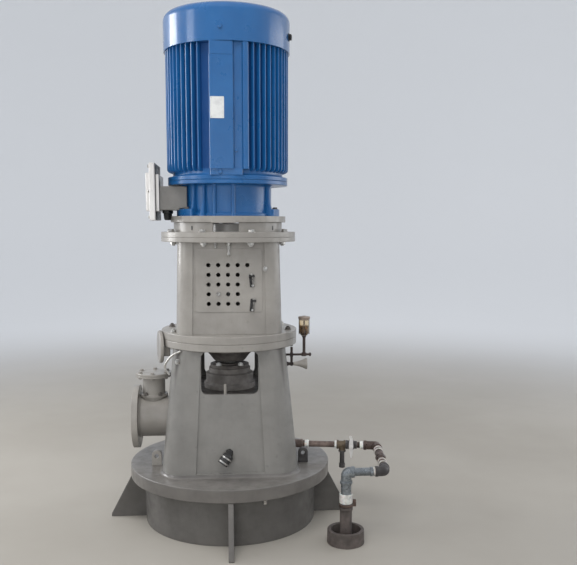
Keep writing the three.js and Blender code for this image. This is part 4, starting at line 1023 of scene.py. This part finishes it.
def make_oiler():
    pipe = Shape()
    for start, end, radius, soft in (
            ((KNUCKLE_X, 0.859), (KNUCKLE_X, 0.96), 0.0066, 0.002),
            ((0.29, HORN_Z), (KNUCKLE_X + 0.009, HORN_Z), 0.008, 0.002),
            ((KNUCKLE_X, 0.908), (KNUCKLE_X, 0.93), 0.0085, 0.002),
            ((0.292, ARM_Z), (0.428, ARM_Z), 0.0058, 0.001),
            ((OILER_X, 0.914), (OILER_X, 1.018), 0.0078, 0.001)):
        pipe.bar(oiler_point(*start), oiler_point(*end), radius, soft=soft)
    for x, z, axis, across, height in (
            (0.3, HORN_Z, RIGHT, 0.02, 0.008), (0.425, ARM_Z, LEFT, 0.018, 0.008),
            (OILER_X, 0.911, UP, 0.024, 0.018), (OILER_X, 1.01, UP, 0.019, 0.009)):
        pipe.hexagon(oiler_point(x, z), axis, across, height)
    pipe.replace("oiler_pipe", OILER_IRON)

    horn = [(0, 0), (0.0095, 0, 0.001), (0.011, 0.02, 0.01), (0.0215, 0.05, 0.012), (0.029, 0.065, 0.002),
            (0.029, 0.072, 0.002), (0.024, 0.072, 0.002), (0.0155, 0.05, 0.01), (0.008, 0.03), (0, 0.03)]
    at = place(oiler_point(0.3338, HORN_Z), RIGHT)
    Shape().lathe(horn, 0.002, at, 48, bend=6).replace("oiler_horn", GREY)

    at = Matrix.Translation(oiler_point(OILER_X, 0))
    cup = [(0, 1.02), (0.0145, 1.02, 0.002), (0.0245, 1.031, 0.005), (0.0268, 1.1058, 0.001),
           (0.0245, 1.1058, 0.001), (0.022, 1.033, 0.004), (0.012, 1.0235, 0.002), (0, 1.0235)]
    Shape().lathe(cup, 0.001, at, 64, bend=6).replace("oiler_glass", GLASS)
    filling = [(0, 1.0238), (0.0118, 1.0238, 0.001), (0.0217, 1.0335, 0.003), (0.0232, 1.072), (0, 1.072)]
    Shape().lathe(filling, 0.0005, at, 48, bend=5).make("oiler_oil", OIL)
    cap = [(0, 1.1063), (0.029, 1.1063, 0.001), (0.031, 1.111, 0.002), (0.031, 1.119, 0.003),
           (0.012, 1.1215, 0.002), (0.009, 1.123, 0.001), (0, 1.123)]
    lid = Shape().lathe(cap, 0.001, at, 64, bend=5)
    for inner, outer, bottom, top in ((0.013, 0.018, 1.0203, 1.0247), (0.0246, 0.0285, 1.1013, 1.1057)):
        lid.ring(inner, outer, bottom, top, 0.001, at, 48)
    lid.replace("oiler_cap", CAP)
    rods = Shape()
    for angle in (0, 90, 180, 270):
        foot = at @ polar(0.0262, angle, 1.026)
        rods.bar(foot, foot + UP * 0.08, 0.0019, 12)
    rods.make("oiler_rods", OILER_IRON)


# Drain line

HEADING = math.radians(-10)
ALONG = Vector((math.cos(HEADING), math.sin(HEADING), 0))
# The valve's stem points towards the front
FORWARDS = Vector((math.sin(HEADING), -math.cos(HEADING), 0))
DRAIN_START = Vector((0.342, 0.02, 0.385))
# The return pipe lies a little lower than the inlet
RETURN_LEVEL = 0.366
LOOP_FAR = Vector((0.775, -0.45, RETURN_LEVEL))
STANDPIPE = Vector((0.578, -0.45, 0))
PIPE_RADIUS = 0.0168
LOOP_RADIUS = 0.0205
UPPER_RADIUS = 0.0262
THREAD_PITCH = 0.0023
THREAD_DEPTH = 0.0009


def drain(distance):
    """A point on the inlet's middle line."""
    return DRAIN_START + ALONG * distance


def riser(z):
    """A point on the standpipe's middle line."""
    return STANDPIPE + UP * z


def threads(shape, start, axis, length, radius):
    """Turns of pipe thread as a row of sharp ridges."""
    count = int(length / THREAD_PITCH)
    profile = [(0, 0), (radius - THREAD_DEPTH, 0)]
    for i in range(count):
        profile += [(radius, (i + 0.5) * THREAD_PITCH), (radius - THREAD_DEPTH, (i + 1) * THREAD_PITCH)]
    profile.append((0, count * THREAD_PITCH))
    shape.turned(profile, place(start, axis), 32)


# A wrap's change of radius at parts of its length
TAPE_ROWS = ((0, -0.0025), (0.12, -0.0005), (0.3, 0), (0.42, -0.0008), (0.6, 0.0006), (0.8, -0.001),
             (1, -0.002))


def tape_wrap(shape, start, end, radius):
    """Uneven turns of sealing tape."""
    length = (end - start).length
    profile = [(radius + change, length * part) for part, change in TAPE_ROWS]
    shape.turned([(0, 0), *profile, (0, length)], place(start, end - start), 40)


def make_drain_inlet():
    coupling = Shape()
    coupling.bands(
        drain, (-0.011, 0.0615, 0.0225), (-0.004, 0.012, 0.0285, 0.006), (0.048, 0.0615, 0.0255))
    coupling.replace("drain_coupling", PIPE)
    pipe = Shape()
    pipe.bar(drain(0.0623), drain(0.2497), PIPE_RADIUS, 40)
    for start in (0.063, 0.226):
        threads(pipe, drain(start), ALONG, 0.012, 0.0172)
    pipe.replace("drain_inlet_pipe", PIPE)
    wraps = Shape()
    for start, end in ((0.073, 0.096), (0.239, 0.251), (0.378, 0.397)):
        tape_wrap(wraps, drain(start), drain(end), 0.0215)
    wraps.make("drain_tape", TAPE)

    def drop(distance):
        return drain(0.281) + DOWN * distance

    tee = Shape()
    tee.bar(drain(0.2505), drain(0.2995), 0.0212, 40)
    tee.bands(drain, (0.2505, 0.262, 0.0248), (0.288, 0.2997, 0.0248))
    tee.bar(drop(0), drop(0.036), 0.0185, 40)
    tee.replace("drain_tee", BRASS)
    leg = Shape()
    leg.bands(drop, (0.03, 0.0405, 0.0205), (0.104, 0.13, 0.0165))
    leg.bar(drop(0.02), drop(0.112), 0.0132)
    threads(leg, drop(0.041), DOWN, 0.011, 0.0138)
    leg.make("drip_leg", DARK_PIPE)


def make_valve():
    centre = drain(0.331)

    def stem(distance):
        return centre + FORWARDS * distance

    body = Shape()
    body.hexagon(drain(0.3003), ALONG, 0.042, 0.016, 0.3)
    body.hexagon(drain(0.3617), -ALONG, 0.042, 0.016, 0.3)
    belly = [(0, -0.02), (0.019, -0.02, 0.004), (0.0285, -0.009, 0.008), (0.0285, 0.009, 0.008),
             (0.019, 0.02, 0.004), (0, 0.02)]
    body.lathe(belly, 0.002, place(centre, ALONG), 48, bend=6)
    body.bar(centre, stem(0.031), 0.0125, soft=0.002)
    body.hexagon(stem(0.029), FORWARDS, 0.022, 0.007)
    body.bar(stem(0.035), stem(0.0445), 0.0075, 24)
    body.replace("drain_valve_body", DARK_PIPE)

    # The handle lies in the plane across the stem: its own X runs along the pipe, its Y upwards
    at = Matrix.Translation(stem(0.0451)) @ axes_matrix(ALONG, UP, FORWARDS)
    outline = [(-0.0125, 0.062, 0.003), (-0.0075, 0.045, 0.02), (-0.0118, 0.018, 0.02),
               (-0.0122, -0.008, 0.02), (-0.006, -0.036, 0.02), (-0.0035, -0.062, 0.004),
               (0.0025, -0.062, 0.004), (0.0095, -0.03, 0.02), (0.0125, 0.0, 0.02), (0.0105, 0.04, 0.02),
               (0.001, 0.062, 0.006)]
    handle = Shape().prism(rounded(outline, 0.008, 8), 0, 0.0038, at)
    handle.hexagon(stem(0.0489), FORWARDS, 0.019, 0.008)
    handle.bar(stem(0.0489), stem(0.0588), 0.0048, 16, soft=0.001)
    handle.replace("drain_valve_lever", LID_GREY, "bright_steel", LEVER, 0.0012)


def make_loop():
    corner = drain(0.47)
    side = (LOOP_FAR - corner).normalized()
    length = (LOOP_FAR - corner).length

    def run(distance):
        return corner + side * distance

    def back(distance):
        return LOOP_FAR + LEFT * distance

    loop = Shape()
    loop.bar(drain(0.3625), drain(0.41), PIPE_RADIUS, 40)
    threads(loop, drain(0.364), ALONG, 0.012, 0.0172)
    loop.bend([drain(0.4), corner, run(0.04)], 0.036, 0.0235)
    loop.bands(drain, (0.398, 0.416, 0.0262, 0.004))
    # Union in the middle of the side run
    middle = length / 2
    loop.hexagon(run(middle - 0.016), side, 0.048, 0.032, 0.2)
    loop.bands(run, (0.036, 0.052, 0.0262, 0.004), (middle - 0.034, middle + 0.03, 0.0238))
    loop.bar(run(0.04), run(length - 0.04), LOOP_RADIUS, 40)
    for start in (0.052, 0.118, 0.235, 0.31):
        threads(loop, run(start), side, 0.016, 0.0213)
    loop.replace("drain_loop", RUSTY)
    elbow = Shape().bend([run(length - 0.044), LOOP_FAR, back(0.05)], 0.04, 0.0245)
    elbow.bands(run, (length - 0.056, length - 0.038, 0.0275, 0.004))
    elbow.bands(back, (0.035, 0.0515, 0.027, 0.004))
    elbow.make("loop_far_elbow", DARK_PIPE)
    wraps = Shape()
    for start in (0.068, 0.1, 0.252, 0.293):
        tape_wrap(wraps, run(start), run(start + 0.014), 0.0243)
    tape_wrap(wraps, back(0.052), back(0.062), 0.0245)
    wraps.make("loop_tape", GREY_TAPE)
    pipe = Shape().bar(back(0.0525), riser(RETURN_LEVEL) + RIGHT * 0.0425, LOOP_RADIUS, 40)
    pipe.bands(back, (0.064, 0.078, 0.024, 0.004))
    pipe.replace("drain_return_pipe", ZINC)


def make_standpipe():
    knee = riser(RETURN_LEVEL)

    def arm(distance):
        return knee + RIGHT * distance

    upper = Shape().bend([arm(0.042), knee, knee + DOWN * 0.05], 0.038, UPPER_RADIUS, 12)
    upper.bands(arm, (0.042, 0.026, 0.029, 0.004))
    upper.bands(riser, (0.306, 0.322, 0.0315, 0.004))
    upper.bar(knee + DOWN * 0.045, riser(0.2052), UPPER_RADIUS, 48)
    upper.replace("standpipe", ZINC)
    at = Matrix.Translation(STANDPIPE)
    Shape().ring(0.0264, 0.0335, 0.2065, 0.256, 0.005, at, 48).make("standpipe_band", BAND)

    lower = Shape()
    lower.bar(riser(0.0144), riser(0.2047), 0.0302, 48)
    lower.bands(riser, (0.1705, 0.187, 0.0345, 0.004), (0.189, 0.2047, 0.0355, 0.004),
                (0.0144, 0.03, 0.0335, 0.004))
    lower.replace("standpipe_lower", CUP)
    clamp = Shape()
    clamp.ring(0.0345, 0.037, 0.191, 0.203, 0.001, at, 48)
    for way in (FRONT, -FRONT):
        y = 0.006 * way.y
        clamp.block((0.034, y - 0.0015, 0.189), (0.05, y + 0.0015, 0.222), at)
        clamp.bolt(STANDPIPE + Vector((0.042, 0.0076 * way.y, 0.208)), way, 0.008)
    clamp.make("standpipe_clamp", RUSTY)

    bowl = [(0, 0), (0.094, 0, 0.004), (0.0925, 0.072, 0.004), (0.074, 0.072, 0.004),
            (0.0725, 0.014, 0.006), (0, 0.014)]
    Shape().lathe(bowl, 0.003, at, bend=5).replace("drain_cup", CUP)


def make_nipple():
    wall = Vector((-0.006, -0.3306, 0.444))
    knee = wall + FRONT * 0.034
    run = Vector((-0.036, -0.014, -0.048))
    at = place(knee, run)
    nipple = Shape().hexagon(wall, FRONT, 0.036, 0.012, 0.4)
    nipple.bend([wall, knee, knee + run * 0.4], 0.02, 0.0165, 8, 32)
    socket = [(0, 0), (0.02, 0, 0.002), (0.0275, 0.01, 0.003), (0.0275, 0.06, 0.001),
              (0.019, 0.06, 0.001), (0.019, 0.03), (0, 0.03)]
    nipple.lathe(socket, 0.001, at, 48)
    nipple.replace("hose_nipple", BLACK)
    bands = Shape()
    for start in (0.02, 0.046):
        bands.ring(0.0272, 0.0284, start, start + 0.007, 0.0005, at, 48)
    bands.make("hose_nipple_bands", STEEL)


# Camera, light and floor

FOCAL_PIXELS = 770.5
IMAGE_WIDTH = 577
IMAGE_HEIGHT = 565
PRINCIPAL_ROW = 325.1
SENSOR = 36.0
EYE_HEIGHT = 1.6
EYE_DISTANCE = 4.148
PITCH_DOWN = 7.5
YAW_RIGHT = 4.43
ROLL = -0.06
WARM_WHITE = (1, 0.98, 0.95)
# The floor's plain part, its curve up, and the wall, as distances from the pump and heights
FLOOR_PROFILE = [(0, 0), (8, 0), (12, 1.5), (13.5, 6), (13.5, 12)]
# The floor pales between these squared distances
FLOOR_FADE = (4, 60)


def add_camera():
    data = bpy.data.cameras.new("camera")
    data.sensor_width = SENSOR
    data.lens = FOCAL_PIXELS * SENSOR / IMAGE_WIDTH
    data.shift_y = (PRINCIPAL_ROW - IMAGE_HEIGHT / 2) / IMAGE_WIDTH
    data.clip_end = 200
    camera = add_object("camera", data)
    camera.location = (0, -EYE_DISTANCE, EYE_HEIGHT)
    camera.rotation_euler = (
        Matrix.Rotation(math.radians(-YAW_RIGHT), 3, "Z")
        @ Matrix.Rotation(math.radians(90 - PITCH_DOWN), 3, "X")
        @ Matrix.Rotation(math.radians(-ROLL), 3, "Z")).to_euler()
    bpy.context.scene.camera = camera


def add_light(name, location, target, size, power, colour=(1, 1, 1), mirrored=True):
    data = bpy.data.lights.new(name, "AREA")
    data.shape = "RECTANGLE"
    data.size, data.size_y = size
    data.energy = power
    data.color = colour
    lamp = add_object(name, data)
    lamp.location = location
    lamp.visible_glossy = mirrored
    lamp.rotation_euler = (Vector(target) - Vector(location)).to_track_quat("-Z", "Y").to_euler()


def add_stage():
    """A round, plain floor that rises smoothly to a pale wall all round."""
    floor = Finish("pale_floor")
    near = floor.mix(floor.patches(0.8, 4, 0.35, 0.7), (0.33, 0.31, 0.275), (0.36, 0.34, 0.305))
    far = floor.ramp(floor.squared_radius(), *FLOOR_FADE)
    floor.colour(floor.mix(far, near, (0.86, 0.88, 0.9)))
    floor.roughness(floor.patches(2, 4, 0.3, 0.7, 0.7, 0.8))
    Shape().lathe(FLOOR_PROFILE, 2, bend=10).to_object("floor", floor.material)
    world = bpy.data.worlds.new("studio")
    world.use_nodes = True
    background = world.node_tree.nodes["Background"]
    background.inputs["Color"].default_value = (0.95, 0.96, 1.0, 1)
    background.inputs["Strength"].default_value = 0.7
    bpy.context.scene.world = world
    bpy.context.scene.view_settings.view_transform = "Standard"


add_camera()
# Two tall lights at the left make the motor's streaks, a broad dim one stands at the right, one
# hangs overhead, and one beside the camera reaches into the windows
add_light("left_window", polar(4.6, -108, 2.6), (0, 0, 1.9), (1.7, 2.6), 130)
add_light("left_soft", polar(4.6, -65, 2.6), (0, 0, 1.9), (1.1, 2.4), 30)
add_light("right_soft", polar(4.8, 100, 2.4), (0, 0, 1.6), (3.4, 2.6), 50)
add_light("overhead", (-0.6, -3.0, 6.2), (0, 0, 1.6), (3.6, 3.0), 150, WARM_WHITE, mirrored=False)
add_light("front_fill", (-0.8, -5.5, 1.9), (0, 0, 1.2), (2.4, 1.8), 95, WARM_WHITE, mirrored=False)
add_stage()
make_base()
make_stool()
make_nozzle()
make_vent()
make_seal()
make_rotor()
make_lantern()
make_guard("guard_front", 0)
make_guard("guard_back", math.pi, shift=-0.024)
make_adapter()
make_bracket()
make_frame()
make_nameplate()
make_fan_cover()
make_terminal_box()
make_oiler()
make_drain_inlet()
make_valve()
make_loop()
make_standpipe()
make_nipple()
